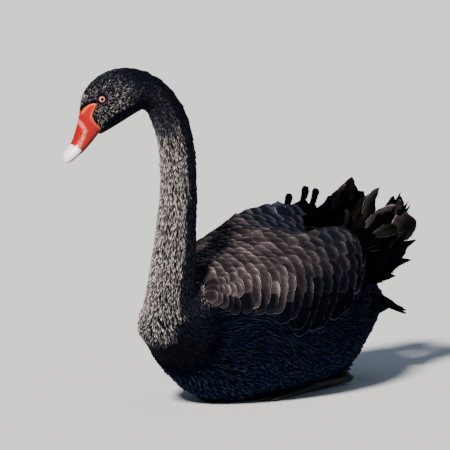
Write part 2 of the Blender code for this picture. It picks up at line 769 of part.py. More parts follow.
def tail():
    x, y, z = TAIL_ROOT
    core = ball("tail", Vector(TAIL_BASE) * MM, Vector(TAIL_BASE_SIZE) * MM, 14, 8)
    pieces = []
    for i in range(TAIL_FEATHERS):
        spreading = 2 * i / (TAIL_FEATHERS - 1) - 1
        root = Vector((x + spreading * 12, y, z - 3 * abs(spreading))) * MM
        tip_y = TAIL_TIP[1] - 36 * spreading ** 2
        tip = Vector((x + spreading * 50, tip_y, TAIL_TIP[2] + 2.4 * (i % 2) - 2 * abs(spreading))) * MM
        pieces.append(vane(root, tip, Vector((spreading * 0.3, 0, 1)), 4 * MM, 20 * MM, point=0.2))
    for i in range(TAIL_COVERTS):
        spreading = 2 * i / (TAIL_COVERTS - 1) - 1
        root = Vector((x + spreading * 16, y - 2, z + 8 - 4 * abs(spreading))) * MM
        tip = Vector((x + spreading * 30, y + 58 - 12 * spreading ** 2, z - 3 - 4 * abs(spreading))) * MM
        pieces.append(vane(root, tip, Vector((spreading * 0.4, 0, 1)), 5 * MM, 20 * MM))
    combine(core, pieces, "UNION", "MANIFOLD")
    combine(core, [torso_form("grown_torso", GAP)], "DIFFERENCE", "MANIFOLD")
    return finish(core, wing_plumage)


build_flesh()
wing("wing_left", 1)
wing("wing_right", -1)
tail()
for side, word in ((1, "left"), (-1, "right")):
    finish(foot_form("foot_" + word, side), leg_skin)
for thing in swan.objects:
    thing.data.shade_smooth()
    thing.data.set_sharp_from_angle(angle=math.radians(35))
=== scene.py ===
# Black swan afloat, life size: skin, feathers, bill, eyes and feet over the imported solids.
# The bird faces -Y, its left side is +X, and the floor is z = 0.
import json
import math

import bmesh
import bpy
import numpy as np
from mathutils import Matrix, Vector
from mathutils.bvhtree import BVHTree

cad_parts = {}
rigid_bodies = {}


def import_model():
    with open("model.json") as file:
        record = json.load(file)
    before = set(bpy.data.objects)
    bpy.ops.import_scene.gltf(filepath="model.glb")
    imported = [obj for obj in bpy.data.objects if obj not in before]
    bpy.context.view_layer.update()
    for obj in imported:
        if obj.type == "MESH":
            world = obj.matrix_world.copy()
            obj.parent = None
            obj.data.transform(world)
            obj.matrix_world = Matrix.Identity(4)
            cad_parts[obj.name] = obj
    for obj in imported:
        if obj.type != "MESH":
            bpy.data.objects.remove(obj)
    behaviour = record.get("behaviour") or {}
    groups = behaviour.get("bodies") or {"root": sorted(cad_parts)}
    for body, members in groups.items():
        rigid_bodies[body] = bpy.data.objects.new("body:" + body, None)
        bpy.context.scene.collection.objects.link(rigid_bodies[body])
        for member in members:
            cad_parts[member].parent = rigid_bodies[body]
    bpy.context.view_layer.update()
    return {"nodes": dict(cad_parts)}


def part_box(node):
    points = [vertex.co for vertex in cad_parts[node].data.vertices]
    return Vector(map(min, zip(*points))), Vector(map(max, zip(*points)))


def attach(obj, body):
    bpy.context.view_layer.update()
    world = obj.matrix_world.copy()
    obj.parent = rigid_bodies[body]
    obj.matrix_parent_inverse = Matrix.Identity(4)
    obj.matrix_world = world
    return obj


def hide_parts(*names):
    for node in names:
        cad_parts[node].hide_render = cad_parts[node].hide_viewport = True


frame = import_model()
nodes = frame["nodes"]
mm = 0.001
rng = np.random.default_rng(7)


def painted(mesh, finish):
    mesh.materials.clear()
    mesh.materials.append(finish)


def put(name, data, finish=None):
    thing = bpy.data.objects.new(name, data)
    bpy.context.scene.collection.objects.link(thing)
    if finish:
        painted(data, finish)
    return thing


# Camera at the photograph's angle, and soft light from the left of it
view = {"place": (3.6580194, -4.91205132, 0.91503861), "bearing": 37.327, "pitch": -6.4128, "lens": 360.9,
        "reach": 30}


def makeCamera():
    data = bpy.data.cameras.new("camera")
    data.lens = view["lens"]
    data.clip_end = view["reach"]
    camera = put("camera", data)
    camera.location = view["place"]
    camera.rotation_euler = (math.radians(90 + view["pitch"]), 0, math.radians(view["bearing"]))
    bpy.context.scene.camera = camera


makeCamera()

lights = {
    # name: way from the bird (right of the camera, towards it, up), strength, softness in degrees, colour
    "keyLight": ((-0.42, 0.90, 0.92), 8.0, 10, (1.0, 0.93, 0.84)),
    "backLight": ((0.55, -0.75, 0.70), 0.25, 40, (0.70, 0.82, 1.0)),
}
sky = {"Color": (0.62, 0.76, 1.0, 1), "Strength": 0.22}


def makeLights():
    turn = math.radians(view["bearing"])
    right = Vector((math.cos(turn), math.sin(turn), 0))
    nearer = Vector((math.sin(turn), -math.cos(turn), 0))
    for name, (way, strength, softness, colour) in lights.items():
        data = bpy.data.lights.new(name, "SUN")
        data.energy = strength
        data.angle = math.radians(softness)
        data.color = colour
        away = (right * way[0] + nearer * way[1] + Vector((0, 0, way[2]))).normalized()
        lamp = put(name, data)
        lamp.location = away * 3
        lamp.rotation_euler = away.to_track_quat("Z", "Y").to_euler()
    world = bpy.data.worlds.new("world")
    world.use_nodes = True
    for name, value in sky.items():
        world.node_tree.nodes["Background"].inputs[name].default_value = value
    bpy.context.scene.world = world


makeLights()


# One socket of a node tree. Sums and products of these add Math nodes.
class Wire:
    def __init__(self, tree, socket):
        self.tree = tree
        self.socket = socket

    def maths(self, kind, *others):
        return add(self.tree, "ShaderNodeMath", {"operation": kind}, [self, *others])

    def __add__(self, other):
        return self.maths("ADD", other)

    def __sub__(self, other):
        return self.maths("SUBTRACT", other)

    def __rsub__(self, other):
        return add(self.tree, "ShaderNodeMath", {"operation": "SUBTRACT"}, [other, self])

    def __mul__(self, other):
        return self.maths("MULTIPLY", other)

    __radd__ = __add__
    __rmul__ = __mul__

    def step(self, low, high):
        # Smooth change from 0 at low to 1 at high, whichever of them is greater
        (least, first), (most, last) = sorted([(low, 0.0), (high, 1.0)])
        return add(self.tree, "ShaderNodeMapRange", {"interpolation_type": "SMOOTHSTEP"},
                   {"Value": self, "From Min": least, "From Max": most, "To Min": first, "To Max": last})

    def out(self, name):
        return Wire(self.tree, self.socket.node.outputs[name])


def add(tree, kind, settings=None, values=None, output=None):
    # A node of this type, with its settings made first, then the values or links of its sockets
    node = tree.nodes.new(kind)
    for key, value in (settings or {}).items():
        setattr(node, key, value)
    enabled = [s for s in node.inputs if s.enabled]
    if isinstance(values, list):
        pairs = zip(enabled, values)
    else:
        pairs = [(next(s for s in enabled if s.name == name), value)
                 for name, value in (values or {}).items()]
    for socket, value in pairs:
        if isinstance(value, Wire):
            tree.links.new(value.socket, socket)
        else:
            socket.default_value = value
    return Wire(tree, next(s for s in node.outputs if s.enabled and output in (None, s.name)))


# A material, whose inputs take numbers, colours or wires
class Paint:
    def __init__(self, name):
        self.made = bpy.data.materials.new(name)
        self.made.use_nodes = True
        self.tree = self.made.node_tree
        self.place = add(self.tree, "ShaderNodeTexCoord", output="Object")

    def set(self, inputs):
        sockets = self.tree.nodes["Principled BSDF"].inputs
        for name, value in inputs.items():
            if isinstance(value, Wire):
                self.tree.links.new(value.socket, sockets[name])
            else:
                sockets[name].default_value = value
        return self.made

    def attribute(self, name):
        return add(self.tree, "ShaderNodeAttribute", {"attribute_name": name}, output="Fac")

    def noise(self, scale, detail=3.0):
        values = {"Vector": self.place, "Scale": scale, "Detail": detail}
        return add(self.tree, "ShaderNodeTexNoise", {}, values, "Fac")

    def mix(self, factor, *ends):
        first, second = ((*end, 1.0) if isinstance(end, tuple) else end for end in ends)
        values = {"Factor": factor, "A": first, "B": second}
        return add(self.tree, "ShaderNodeMix", {"data_type": "RGBA"}, values)

    def bump(self, strength, distance, height):
        values = {"Strength": strength, "Distance": distance, "Height": height}
        return add(self.tree, "ShaderNodeBump", {}, values)


def plumage(name, looks):
    # Feathers: dark at the root, browner towards the tip where the tone is high, with a pale worn rim. The
    # tone carries painted light and shade, and vanes darken inwards from the rim as painted shade
    paint = Paint(name)
    along, tone, shade, skySheen = (paint.attribute(field) for field in ("along", "tone", "shade", "skySheen"))
    side = paint.attribute("across").maths("ABSOLUTE")
    # Blotches: patches of random tone, which at fine scales also paint shade in the gaps between clumps of
    # tufts
    blotch = paint.noise(looks["blotch"]).step(0.40, 0.64)
    fine = paint.noise(1400, 2).step(0.3, 0.7)
    patchy = 0.6 + 0.4 * fine
    # Random wear and patches, times the tone, which carries painted light and shade
    wearAndLight = tone * (looks["least"] + (1 - looks["least"]) * shade.step(0.1, 0.9))
    wearAndLight = wearAndLight * (looks["blotchFrom"] + (1 - looks["blotchFrom"]) * blotch)
    if looks["rimWidth"]:
        # Rim and fade are shares of half the feather's width; the fade is painted shade under the feather
        # that overlaps this one
        inner = paint.attribute("inner")
        rim = inner.step(looks["rimWidth"], looks["rimWidth"] * 0.25)
        even = 0.12 + 0.22 * tone
        lit = even + (1 - even) * inner.step(looks["fade"], looks["rimWidth"])
    else:
        rim = along.step(looks["tipFrom"], 0.95)
        lit = along.step(0.1, 0.9)
    base = paint.mix(lit * wearAndLight * (0.7 + 0.3 * fine), looks["deep"], looks["brown"])
    # Feathers that face the sky take a painted bluish sheen, the reflection of the sky
    base = paint.mix(lit * skySheen * looks["skySheen"] * patchy, base, looks["cold"])
    # Pale rims: worn margins, paler where light is painted on; rims of shaded feathers take the cold colour,
    # a painted reflection of the sky
    paleness = (looks["rimLeast"] + skySheen * looks["rimSkySheen"] + wearAndLight * looks["rimShare"]) * patchy
    base = paint.mix(rim * paleness, base, paint.mix(wearAndLight.step(0.04, 0.3), looks["cold"], looks["rim"]))
    barbs = (along * looks["barbs"] + side * (looks["barbs"] * 0.55)).maths("SINE")
    shaft = side.step(0.07, 0.0)
    height = barbs * 0.5 * looks["barbDepth"] + shaft * looks["barbDepth"] * 3
    return paint.set({"Base Color": paint.mix(shaft * looks["shaft"], base, looks["deep"]),
                      "Roughness": looks["rough"] - 0.12 * shade + 0.1 * wearAndLight,
                      "Specular IOR Level": looks["gloss"],
                      "Normal": paint.bump(looks["bump"], 0.0004, height)})


# cold: the blue of the painted sky sheen and of the painted sky reflection on the rims of shaded feathers
headLooks = {"deep": (0.0052, 0.0062, 0.0115), "brown": (0.070, 0.062, 0.061), "rim": (0.90, 0.79, 0.73),
             "cold": (0.38, 0.44, 0.72), "skySheen": 0.0, "rimSkySheen": 0.0, "rimWidth": 0.0, "tipFrom": 0.30,
             "rimShare": 2.2, "rimLeast": 0.0, "fade": 0.5, "least": 0.20, "blotch": 300, "blotchFrom": 0.06,
             "barbs": 20, "barbDepth": 0.3, "bump": 0.3, "gloss": 0.02, "shaft": 0.0, "rough": 0.6}
neckLooks = dict(headLooks, brown=(0.21, 0.178, 0.165), rim=(0.92, 0.82, 0.76), rimShare=1.2, least=0.34,
                 blotch=230, blotchFrom=0.34)
wingLooks = dict(headLooks, deep=(0.0014, 0.0018, 0.0042), brown=(0.20, 0.156, 0.160), rim=(0.92, 0.73, 0.64),
                 skySheen=0.04, rimSkySheen=0.20, rimWidth=0.085, rimShare=2.0, rimLeast=0.15, least=0.4, blotch=28,
                 blotchFrom=0.45, barbs=260, barbDepth=0.6, bump=0.5, shaft=0.4, gloss=0.0, rough=0.7)
# Flanks: blue tips and rims, painted highlights of the sky on the dark feathers
flankLooks = dict(headLooks, deep=(0.0020, 0.0030, 0.0090), brown=(0.006, 0.011, 0.032),
                  rim=(0.018, 0.038, 0.115), rimShare=1.0, least=0.15, tipFrom=0.25, blotch=90,
                  blotchFrom=0.5, gloss=0.0, rough=0.8)
fanLooks = dict(wingLooks, deep=(0.0007, 0.0008, 0.0014), brown=(0.070, 0.056, 0.056), rim=(0.60, 0.50, 0.45),
                rimWidth=0.07, fade=1.0, rimLeast=0.0, rimSkySheen=0.0, least=0.0, barbs=420)

headFinish = plumage("headPlumage", headLooks)
neckFinish = plumage("neckPlumage", neckLooks)
wingFinish = plumage("wingPlumage", wingLooks)
flankFinish = plumage("flankPlumage", flankLooks)
fanFinish = plumage("fanPlumage", fanLooks)


def skinFinish():
    # Down between the feathers: near black
    paint = Paint("down")
    grain = paint.noise(900)
    return paint.set({"Base Color": paint.mix(grain, (0.0014, 0.0018, 0.0036), (0.0036, 0.0044, 0.0080)),
                      "Roughness": 0.9, "Specular IOR Level": 0.0, "Normal": paint.bump(0.5, 0.0008, grain)})


# The neck and head in one sweep: station, centre of the section (forward, height) in mm, share of the
# head's turn
headTurn = math.radians(30)
neckAxisY = -216.4
neckPath = [
    (0, 9, 95, 0.0), (1, 15, 104, 0.0), (2, 17, 118, 0.0), (3, 18, 147, 0.0), (4, 12, 187, 0.0),
    (5, 6, 237, 0.15), (6, 0.5, 279, 0.5), (7, 0.5, 321, 0.9), (8, 4, 357.5, 1.0), (9, 13.5, 389, 1.0),
    (10, 28.5, 413, 1.0), (11, 47.5, 425.5, 1.0), (12, 66, 427, 1.0), (13, 84.5, 422.8, 1.0),
    (14, 101, 415, 1.0),
    (15, 114, 406, 1.0), (16, 122.5, 397, 1.0), (18, 127, 386, 1.0), (20, 135, 369, 1.0), (22, 147, 352, 1.0),
    (25, 159, 334.7, 1.0),
]
featherEdge = [(151, 396), (139, 401), (136.2, 406.4), (132.1, 411.2), (126.5, 413.6), (121.6, 412.8),
               (124.8, 408.0), (127.6, 400.4), (128.6, 395.9), (126.6, 391.3), (123.2, 386.6), (117.5, 382),
               (114.5, 379.5), (115.8, 374.5), (118, 368), (121, 357)]


def follow(stations, where):
    # Smooth curve through stations, each a tuple whose first value is where it stands
    last = len(stations) - 1
    i = 0
    while i < last - 1 and where > stations[i + 1][0]:
        i += 1
    before = stations[max(i - 1, 0)]
    a = stations[i]
    b = stations[i + 1]
    after = stations[min(i + 2, last)]
    span = b[0] - a[0]
    t = min(max((where - a[0]) / span, 0.0), 1.0)
    values = []
    for k in range(1, len(a)):
        slopeA = (b[k] - before[k]) / max(b[0] - before[0], 1e-9) * span
        slopeB = (after[k] - a[k]) / max(after[0] - a[0], 1e-9) * span
        h = t * t * (3 - 2 * t)
        values.append(a[k] * (1 - h) + b[k] * h + slopeA * t * (1 - t) ** 2 - slopeB * t * t * (1 - t))
    return values


def neckPoint(forward, height, aside=0.0, turned=1.0):
    # A point of the neck's plane, which swings to the bird's right by a share of the head's turn, in mm
    angle = headTurn * turned
    x = -forward * math.sin(angle) + aside * math.cos(angle)
    y = neckAxisY - forward * math.cos(angle) - aside * math.sin(angle)
    return Vector((x, y, height)) * mm


headForward = (neckPoint(1, 0) - neckPoint(0, 0)).normalized()
headAside = (neckPoint(0, 0, 1) - neckPoint(0, 0, 0)).normalized()


def inHead(points):
    # Points as forward, height and side of the turned head, in mm
    x = points[:, 0] / mm
    y = points[:, 1] / mm - neckAxisY
    s, c = math.sin(headTurn), math.cos(headTurn)
    return -x * s - y * c, points[:, 2] / mm, x * c - y * s


def rise(values, low, high):
    t = np.clip((values - low) / (high - low), 0, 1)
    t = t * t * (3 - 2 * t)
    return t if np.ndim(t) else float(t)


# Lower and rear edge of the feathers that cover the wing: y and z in mm, on the left wing and the right
covertEdge = {
    1: ([-232, -150, -118, -80, -51, -30, 13, 61, 81, 108],
        [137, 133, 118, 98, 88, 95, 124, 136, 168, 190]),
    -1: ([-232, -150, -118, -80, -51, -30, 25, 90, 115, 150],
         [137, 133, 118, 98, 88, 95, 123, 136, 168, 198]),
}


def lineDistance(forward, height, line):
    # Distance in mm of points from a line in the head's plane
    best = np.full(len(forward), 1e9)
    p = np.stack([forward, height], 1)
    for a, b in zip(line[:-1], line[1:]):
        a, b = np.array(a), np.array(b)
        t = np.clip(((p - a) @ (b - a)) / ((b - a) @ (b - a)), 0, 1)
        best = np.minimum(best, np.linalg.norm(p - (a + t[:, None] * (b - a)), axis=1))
    return best


# Mesh helpers
def unit(vectors):
    return vectors / np.maximum(np.linalg.norm(vectors, axis=1, keepdims=True), 1e-9)


def reworked(mesh, change):
    # Runs a change of its bmesh on a mesh
    work = bmesh.new()
    work.from_mesh(mesh)
    work.verts.ensure_lookup_table()
    change(work)
    work.to_mesh(mesh)
    work.free()


def faceOut(work):
    bmesh.ops.recalc_face_normals(work, faces=work.faces)


def shaped(name, verts, faces, closed=False):
    # A mesh from its points and faces; a closed one is turned outwards and shaded smooth
    mesh = bpy.data.meshes.new(name)
    mesh.from_pydata([tuple(v) for v in verts], [], faces)
    if closed:
        reworked(mesh, faceOut)
        mesh.shade_smooth()
    return mesh


def modify(thing, kind, **settings):
    step = thing.modifiers.new(kind.lower(), kind)
    for key, value in settings.items():
        setattr(step, key, value)
    return step


def settle(thing):
    # The object's mesh with its modifiers applied, and the modifiers removed
    mesh = bpy.data.meshes.new_from_object(thing.evaluated_get(bpy.context.evaluated_depsgraph_get()))
    thing.modifiers.clear()
    thing.data, old = mesh, thing.data
    bpy.data.meshes.remove(old)
    return thing


def remeshed(name, sources, voxel, smoothing):
    # One closed mesh round copies of nodes or other objects
    def merge(part):
        bmesh.ops.remove_doubles(part, verts=part.verts, dist=1e-6)
        faceOut(part)

    work = bmesh.new()
    for source in sources:
        mesh = source.data.copy()
        reworked(mesh, merge)
        work.from_mesh(mesh)
        bpy.data.meshes.remove(mesh)
    mesh = bpy.data.meshes.new(name)
    work.to_mesh(mesh)
    work.free()
    thing = put(name, mesh)
    modify(thing, "REMESH", mode="VOXEL", voxel_size=voxel, use_smooth_shade=True)
    modify(thing, "SMOOTH", factor=0.5, iterations=smoothing)
    return settle(thing)


def positions(mesh):
    points = np.empty(len(mesh.vertices) * 3)
    mesh.vertices.foreach_get("co", points)
    return points.reshape(-1, 3)


def normals(mesh):
    values = np.empty(len(mesh.vertices) * 3, dtype=np.float32)
    mesh.vertex_normals.foreach_get("vector", values)
    return values.reshape(-1, 3).astype(float)


def setPositions(mesh, points):
    mesh.vertices.foreach_set("co", points.reshape(-1))
    mesh.update()


def store(mesh, name, values):
    # A number or vector of each vertex
    kind, field = ("FLOAT", "value") if values.ndim == 1 else ("FLOAT_VECTOR", "vector")
    mesh.attributes.new(name, kind, "POINT").data.foreach_set(field, values.astype(np.float32).reshape(-1))


def recall(mesh, name, size=1):
    values = np.empty(len(mesh.vertices) * size, dtype=np.float32)
    mesh.attributes[name].data.foreach_get("value" if size == 1 else "vector", values)
    return values.astype(float).reshape((-1, size) if size > 1 else -1)


def largest(thing):
    # Keeps the largest closed surface
    def change(work):
        seen = np.zeros(len(work.verts), bool)
        best = []
        for start in work.verts:
            if seen[start.index]:
                continue
            seen[start.index] = True
            group = [start]
            for vert in group:
                for edge in vert.link_edges:
                    other = edge.other_vert(vert)
                    if not seen[other.index]:
                        seen[other.index] = True
                        group.append(other)
            best = max(best, group, key=len)
        kept = {v.index for v in best}
        bmesh.ops.delete(work, geom=[v for v in work.verts if v.index not in kept], context="VERTS")

    reworked(thing.data, change)


# Folded wings: station y, then (x, z) in mm of the inner foot, the ridge, the widest line and the lower edge
wingStations = {
    1: [
        (-215, 20, 132, 34, 138, 44, 126, 44, 114), (-180, 24, 154, 47, 165, 74, 144, 80, 121),
        (-140, 26, 174, 60, 185, 99, 155, 105, 112), (-95, 22, 185, 65, 195, 113, 155, 116, 104),
        (-50, 18, 189, 65, 203, 118, 152, 117, 96), (0, 15, 185, 65, 213, 117, 149, 112, 89),
        (40, 14, 181, 64, 218, 108, 149, 100, 94), (75, 14, 177, 60, 214, 92, 154, 84, 114),
        (102, 15, 172, 52, 202, 75, 160, 69, 138),
    ],
    -1: [
        (-215, 20, 132, 34, 138, 44, 126, 44, 114), (-180, 24, 154, 47, 166, 74, 145, 80, 121),
        (-140, 26, 174, 60, 186, 99, 156, 105, 112), (-95, 22, 186, 66, 196, 113, 157, 116, 104),
        (-50, 18, 190, 67, 212, 118, 158, 117, 96), (0, 15, 188, 67, 226, 118, 158, 112, 91),
        (50, 14, 184, 67, 234, 110, 160, 100, 96), (100, 14, 181, 64, 235, 94, 164, 85, 117),
        (145, 15, 175, 58, 226, 76, 170, 69, 138),
    ],
}


def wingPoint(side, y, v):
    # Outer face of the folded wing: v runs from 0 at the inner foot over the ridge to 1 at the lower edge
    ix, iz, rx, rz, wx, wz, lx, lz = follow(wingStations[side], y)
    shoulder = (0.5, (rx + wx) / 2 + 8, (rz + wz) / 2 + 8)
    x, z = follow([(0.0, ix, iz), (0.3, rx, rz), shoulder, (0.72, wx, wz), (1.0, lx, lz)], v)
    return Vector((side * x, y, z)) * mm


def wingCore(side):
    rows = []
    stations = wingStations[side]
    for y in np.linspace(stations[0][0], stations[-1][0], 34):
        ring = [wingPoint(side, y, v) for v in np.linspace(0, 1, 26)]
        low, inner = ring[-1], ring[0]
        ring.append(Vector((low.x - side * 30 * mm, y * mm, low.z + 4 * mm)))
        ring.append(Vector((side * 40 * mm, y * mm, 118 * mm)))
        ring.append(Vector((inner.x + side * 6 * mm, y * mm, inner.z - 30 * mm)))
        rows.append([tuple(p / mm) for p in ring])
    return loft("wingCore", rows)


def loft(name, rows):
    # A closed form through rings of points in mm
    count = len(rows[0])
    faces = []
    for r in range(len(rows) - 1):
        for i in range(count):
            j = (i + 1) % count
            faces.append((r * count + i, r * count + j, (r + 1) * count + j, (r + 1) * count + i))
    faces.append(tuple(range(count)))
    faces.append(tuple((len(rows) - 1) * count + i for i in range(count)))
    return put(name, shaped(name, [Vector(p) * mm for row in rows for p in row], faces))


# Skin: one piece under all the feathers, which lies inside the solids by the depth of the coat
skinLayout = {"headVoxel": 1.35, "bodyVoxel": 3.1, "headDepth": 1.0, "neckDepth": 2.4, "bodyDepth": 4.0,
              "joint": 255, "tuck": 1.4, "past": 13}


def pathSamples(count=320):
    where = np.linspace(0, 25, count)
    centre = []
    plane = []
    for w in where:
        forward, height, turned = follow(neckPath, w)
        centre.append(neckPoint(forward, height, 0, turned))
        plane.append(neckPoint(0, 0, 1, turned) - neckPoint(0, 0, 0, turned))
    centre = np.array(centre)
    tangent = unit(np.gradient(centre, axis=0))
    aside = unit(np.array(plane))
    outer = unit(np.cross(aside, tangent))
    return where, centre, tangent, aside, outer


def sweep(points):
    # Nearest station of each point, its distance from the centre line in mm, and the frame there
    where, centre, tangent, aside, outer = pathSamples()
    nearest = np.empty(len(points), int)
    for start in range(0, len(points), 20000):
        part = points[start:start + 20000]
        gap = ((part[:, None, :] - centre[None]) ** 2).sum(2)
        nearest[start:start + 20000] = gap.argmin(1)
    off = points - centre[nearest]
    far = np.linalg.norm(off, axis=1) / mm
    return where[nearest], far, tangent[nearest], aside[nearest], outer[nearest], off


# Radii in mm: of the ball, its opening, the pupil, the pale ring and the lid, and how far tufts keep off
eyeLooks = {"ball": 5.6, "opening": 3.6, "pupil": 2.45, "pale": 3.2, "lidFrom": 3.4, "lidThick": 0.36,
            "clear": 4.9, "tuftReach": (0.0, 1.3, 2.6)}
eyeCentre = {}
for side, name in ((1, "eye_left"), (-1, "eye_right")):
    low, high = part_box(name)
    eyeCentre[side] = (Vector(low) + Vector(high)) / 2


def eyeOut(side):
    return (headAside * side + headForward * 0.2 + Vector((0, 0, 0.1))).normalized()


# Where the coats and tones of the skin change, from and to: in mm, or by stations of the sweep
zones = {
    "neckFoot": (116, 138), "neckAxis": (-60, -46), "neckOnly": (215, 235), "joint": (12, 20),
    "breast": (200, 262), "throat": (140, 170), "flankOut": (60, 110), "flankBack": (-200, -130),
    "steeper": (-20, 120), "head": (10.4, 11.8), "bill": (0.5, 1.2), "face": (14.6, 15.6),
    "roundEye": (-17, -12), "nape": (234, 236), "overEdge": (13, 22), "wingFront": (-212, -202),
    "behind": (-236, -212), "rump": (105, 130), "water": (56, 74), "cheek": (12.0, 13.4),
    "litNeck": (-0.07, 0.07), "litBody": (-0.2, 0.4), "paleNeck": (-9.4, -7.8), "faceUp": (0.2, 0.7),
    "browEnd": (15, 17), "loreLine": (-4.5, -2.0), "loreFrom": (121, 123), "socket": (-8.5, -6.0),
    "breastUp": (84, 112), "breastSide": (-34, -16), "rearDark": (20, 90),
}
fieldPlan = {"headFrom": 300, "growFrom": 140, "bodyGrow": 0.8, "coverDepth": 24,
             "neckLight": (-0.21, -0.95, 0.21), "bodyLight": (0.10, -0.60, 0.79),
             # shoulder: how far round the neck the painted shade reaches at each height
             "shoulder": ([100, 200, 260], [0.52, 0.24, 0.13]),
             "grow": ([2, 4, 5, 7, 10, 12, 14], [0.66, 0.85, 1, 1, 0.8, 0.9, 0.8])}


def dressField(thing):
    # Where each feather coat grows on the skin, which way it lies and how the unwrap of the skin runs
    mesh = thing.data
    points = positions(mesh)
    out = normals(mesh)
    station, far, tangent, aside, outer, off = sweep(points)
    x, y, z = points.T / mm
    forward, height = inHead(points)[:2]

    def zone(name, values):
        return rise(values, *zones[name])

    # The neck's own coat ends where the sweep spreads into the body
    isNeck = np.maximum(zone("neckFoot", z) * zone("neckAxis", -far), zone("neckOnly", z))
    trunk = 1 - isNeck
    front = zone("breast", -y) * (1 - zone("throat", z))
    steep = 0.25 + 0.5 * zone("steeper", -y)
    drop = -0.85 * front - steep * (zone("flankOut", np.abs(x)) * zone("flankBack", y))
    back = np.stack([0.25 * np.sign(x) * front, 1 - 0.55 * front, drop], 1)
    lie = isNeck[:, None] * -tangent + trunk[:, None] * unit(back)
    lie = unit(lie - (lie * out).sum(1, keepdims=True) * out)
    joint = 1 - zone("joint", np.abs(z - skinLayout["joint"]))
    isHead = zone("head", station) * (z > fieldPlan["headFrom"])
    clear = zone("bill", lineDistance(forward, height, featherEdge))
    eyes = [np.array(centre) for centre in eyeCentre.values()]
    fromEye = np.min([np.linalg.norm(points - eye, axis=1) for eye in eyes], axis=0) / mm
    # No tuft may reach over the lids
    for eye in eyes:
        for reach in eyeLooks["tuftReach"]:
            clear *= np.linalg.norm(points + lie * reach * mm - eye, axis=1) / mm > eyeLooks["clear"]
    isFace = np.clip(zone("face", station) + zone("roundEye", -fromEye), 0, 1)
    nape = zone("nape", z)
    # The wings' own feathers cover them, down to the edge of the coverts
    lowest = np.where(x > 0, np.interp(y, *covertEdge[1]), np.interp(y, *covertEdge[-1]))
    upper = zone("overEdge", z - lowest)
    covered = zone("wingFront", y) * (z - lowest > fieldPlan["coverDepth"])
    behind = zone("behind", y)
    rump = zone("rump", y)
    dry = zone("water", z)
    flank = trunk * behind * dry * np.maximum(1 - upper, rump) * (1 - covered * (1 - rump))
    # Browner on the side that faces the light and darker on the other, as painted light and shade; blacker on
    # the nape, the flanks and the rump
    # The painted shade reaches further round the neck towards its foot
    litNeck = zone("litNeck", out @ np.array(fieldPlan["neckLight"]) - np.interp(z, *fieldPlan["shoulder"]))
    litBody = zone("litBody", out @ np.array(fieldPlan["bodyLight"]))
    # The upper neck below the head is darker: the head's painted shadow
    neckTone = 0.2 + 0.8 * zone("paleNeck", -station)
    # Painted shade: faces of the head that turn up are darker, less so towards the bill
    crown = zone("faceUp", out[:, 2]) * (1 - 0.5 * zone("browEnd", station))
    # A dark line runs over the bill to the eye and round it
    lore = zone("loreLine", -lineDistance(forward, height, featherEdge[2:6])) * zone("loreFrom", forward)
    socket = np.maximum(lore, zone("socket", -fromEye))
    headTone = (0.2 + 0.8 * zone("cheek", station)) * (1 - 0.80 * crown) * (1 - 0.85 * socket)
    tone = np.where(station > 10.6, headTone, neckTone) * (0.05 + 0.95 * litNeck)
    bodyTone = np.where(upper > 0.5, 0.3 + 0.7 * litBody, 0.8) * (1 - 0.7 * zone("rearDark", y))
    # Breast: lit like the neck, and darker low down and on the bird's left side, as painted light and shade
    breastTone = zone("breastUp", z) * litNeck * zone("breastSide", -x)
    tone = np.where(trunk > 0.5, np.where(behind > 0.97, bodyTone, breastTone), tone)
    # Tufts are short and fine at the foot of the neck and again below the head
    grow = np.where(z > fieldPlan["growFrom"], np.interp(station, *fieldPlan["grow"]), fieldPlan["bodyGrow"])
    # Unwrap: round the sweep on the neck and head, round the body's long axis on the trunk
    fields = {
        "lie": lie, "out": unit(out + joint[:, None] * 3 * unit(off)),
        "faceCover": isHead * clear * isFace, "headCover": isHead * clear * (1 - isFace),
        "neckCover": isNeck * (1 - isHead) * (1 - nape), "napeCover": isNeck * (1 - isHead) * nape,
        "breastCover": trunk * (1 - behind) * dry, "flankCover": flank, "bellyCover": trunk * (1 - dry),
        "tone": np.clip(tone, 0, 1), "grow": grow,
        "neckCos": (off * outer).sum(1), "neckSin": (off * aside).sum(1),
        "neckRun": 0.02 + 0.96 * station / 25, "bodyRun": 0.02 + 0.96 * np.clip((y + 280) / 515, 0, 1),
    }
    for name, values in fields.items():
        store(mesh, name, values)


def inset(thing, base):
    # Draws a surface in by the depth of its coat, and further past the height where the two parts join
    points = positions(thing.data)
    out = normals(thing.data)
    station = sweep(points)[0]
    z = points[:, 2] / mm
    depth = np.where(z > 130, skinLayout["neckDepth"], skinLayout["bodyDepth"])
    depth = depth + (skinLayout["headDepth"] - depth) * rise(station, 10.0, 12.5)
    past = (z - skinLayout["joint"]) * (1 if base else -1)
    depth = depth * rise(z, 1.0, 12.0) + skinLayout["tuck"] * rise(past, 0, 8)
    setPositions(thing.data, points - out * depth[:, None] * mm)


def cutAcross(thing, height, upper):
    # Keeps the part above or below a height, closed with a flat end
    def change(work):
        geometry = list(work.verts) + list(work.edges) + list(work.faces)
        found = bmesh.ops.bisect_plane(work, geom=geometry, plane_co=(0, 0, height * mm), plane_no=(0, 0, 1),
                                       clear_outer=not upper, clear_inner=upper)
        rim = [e for e in found["geom_cut"] if isinstance(e, bmesh.types.BMEdge)]
        bmesh.ops.holes_fill(work, edges=rim)
        faceOut(work)

    reworked(thing.data, change)


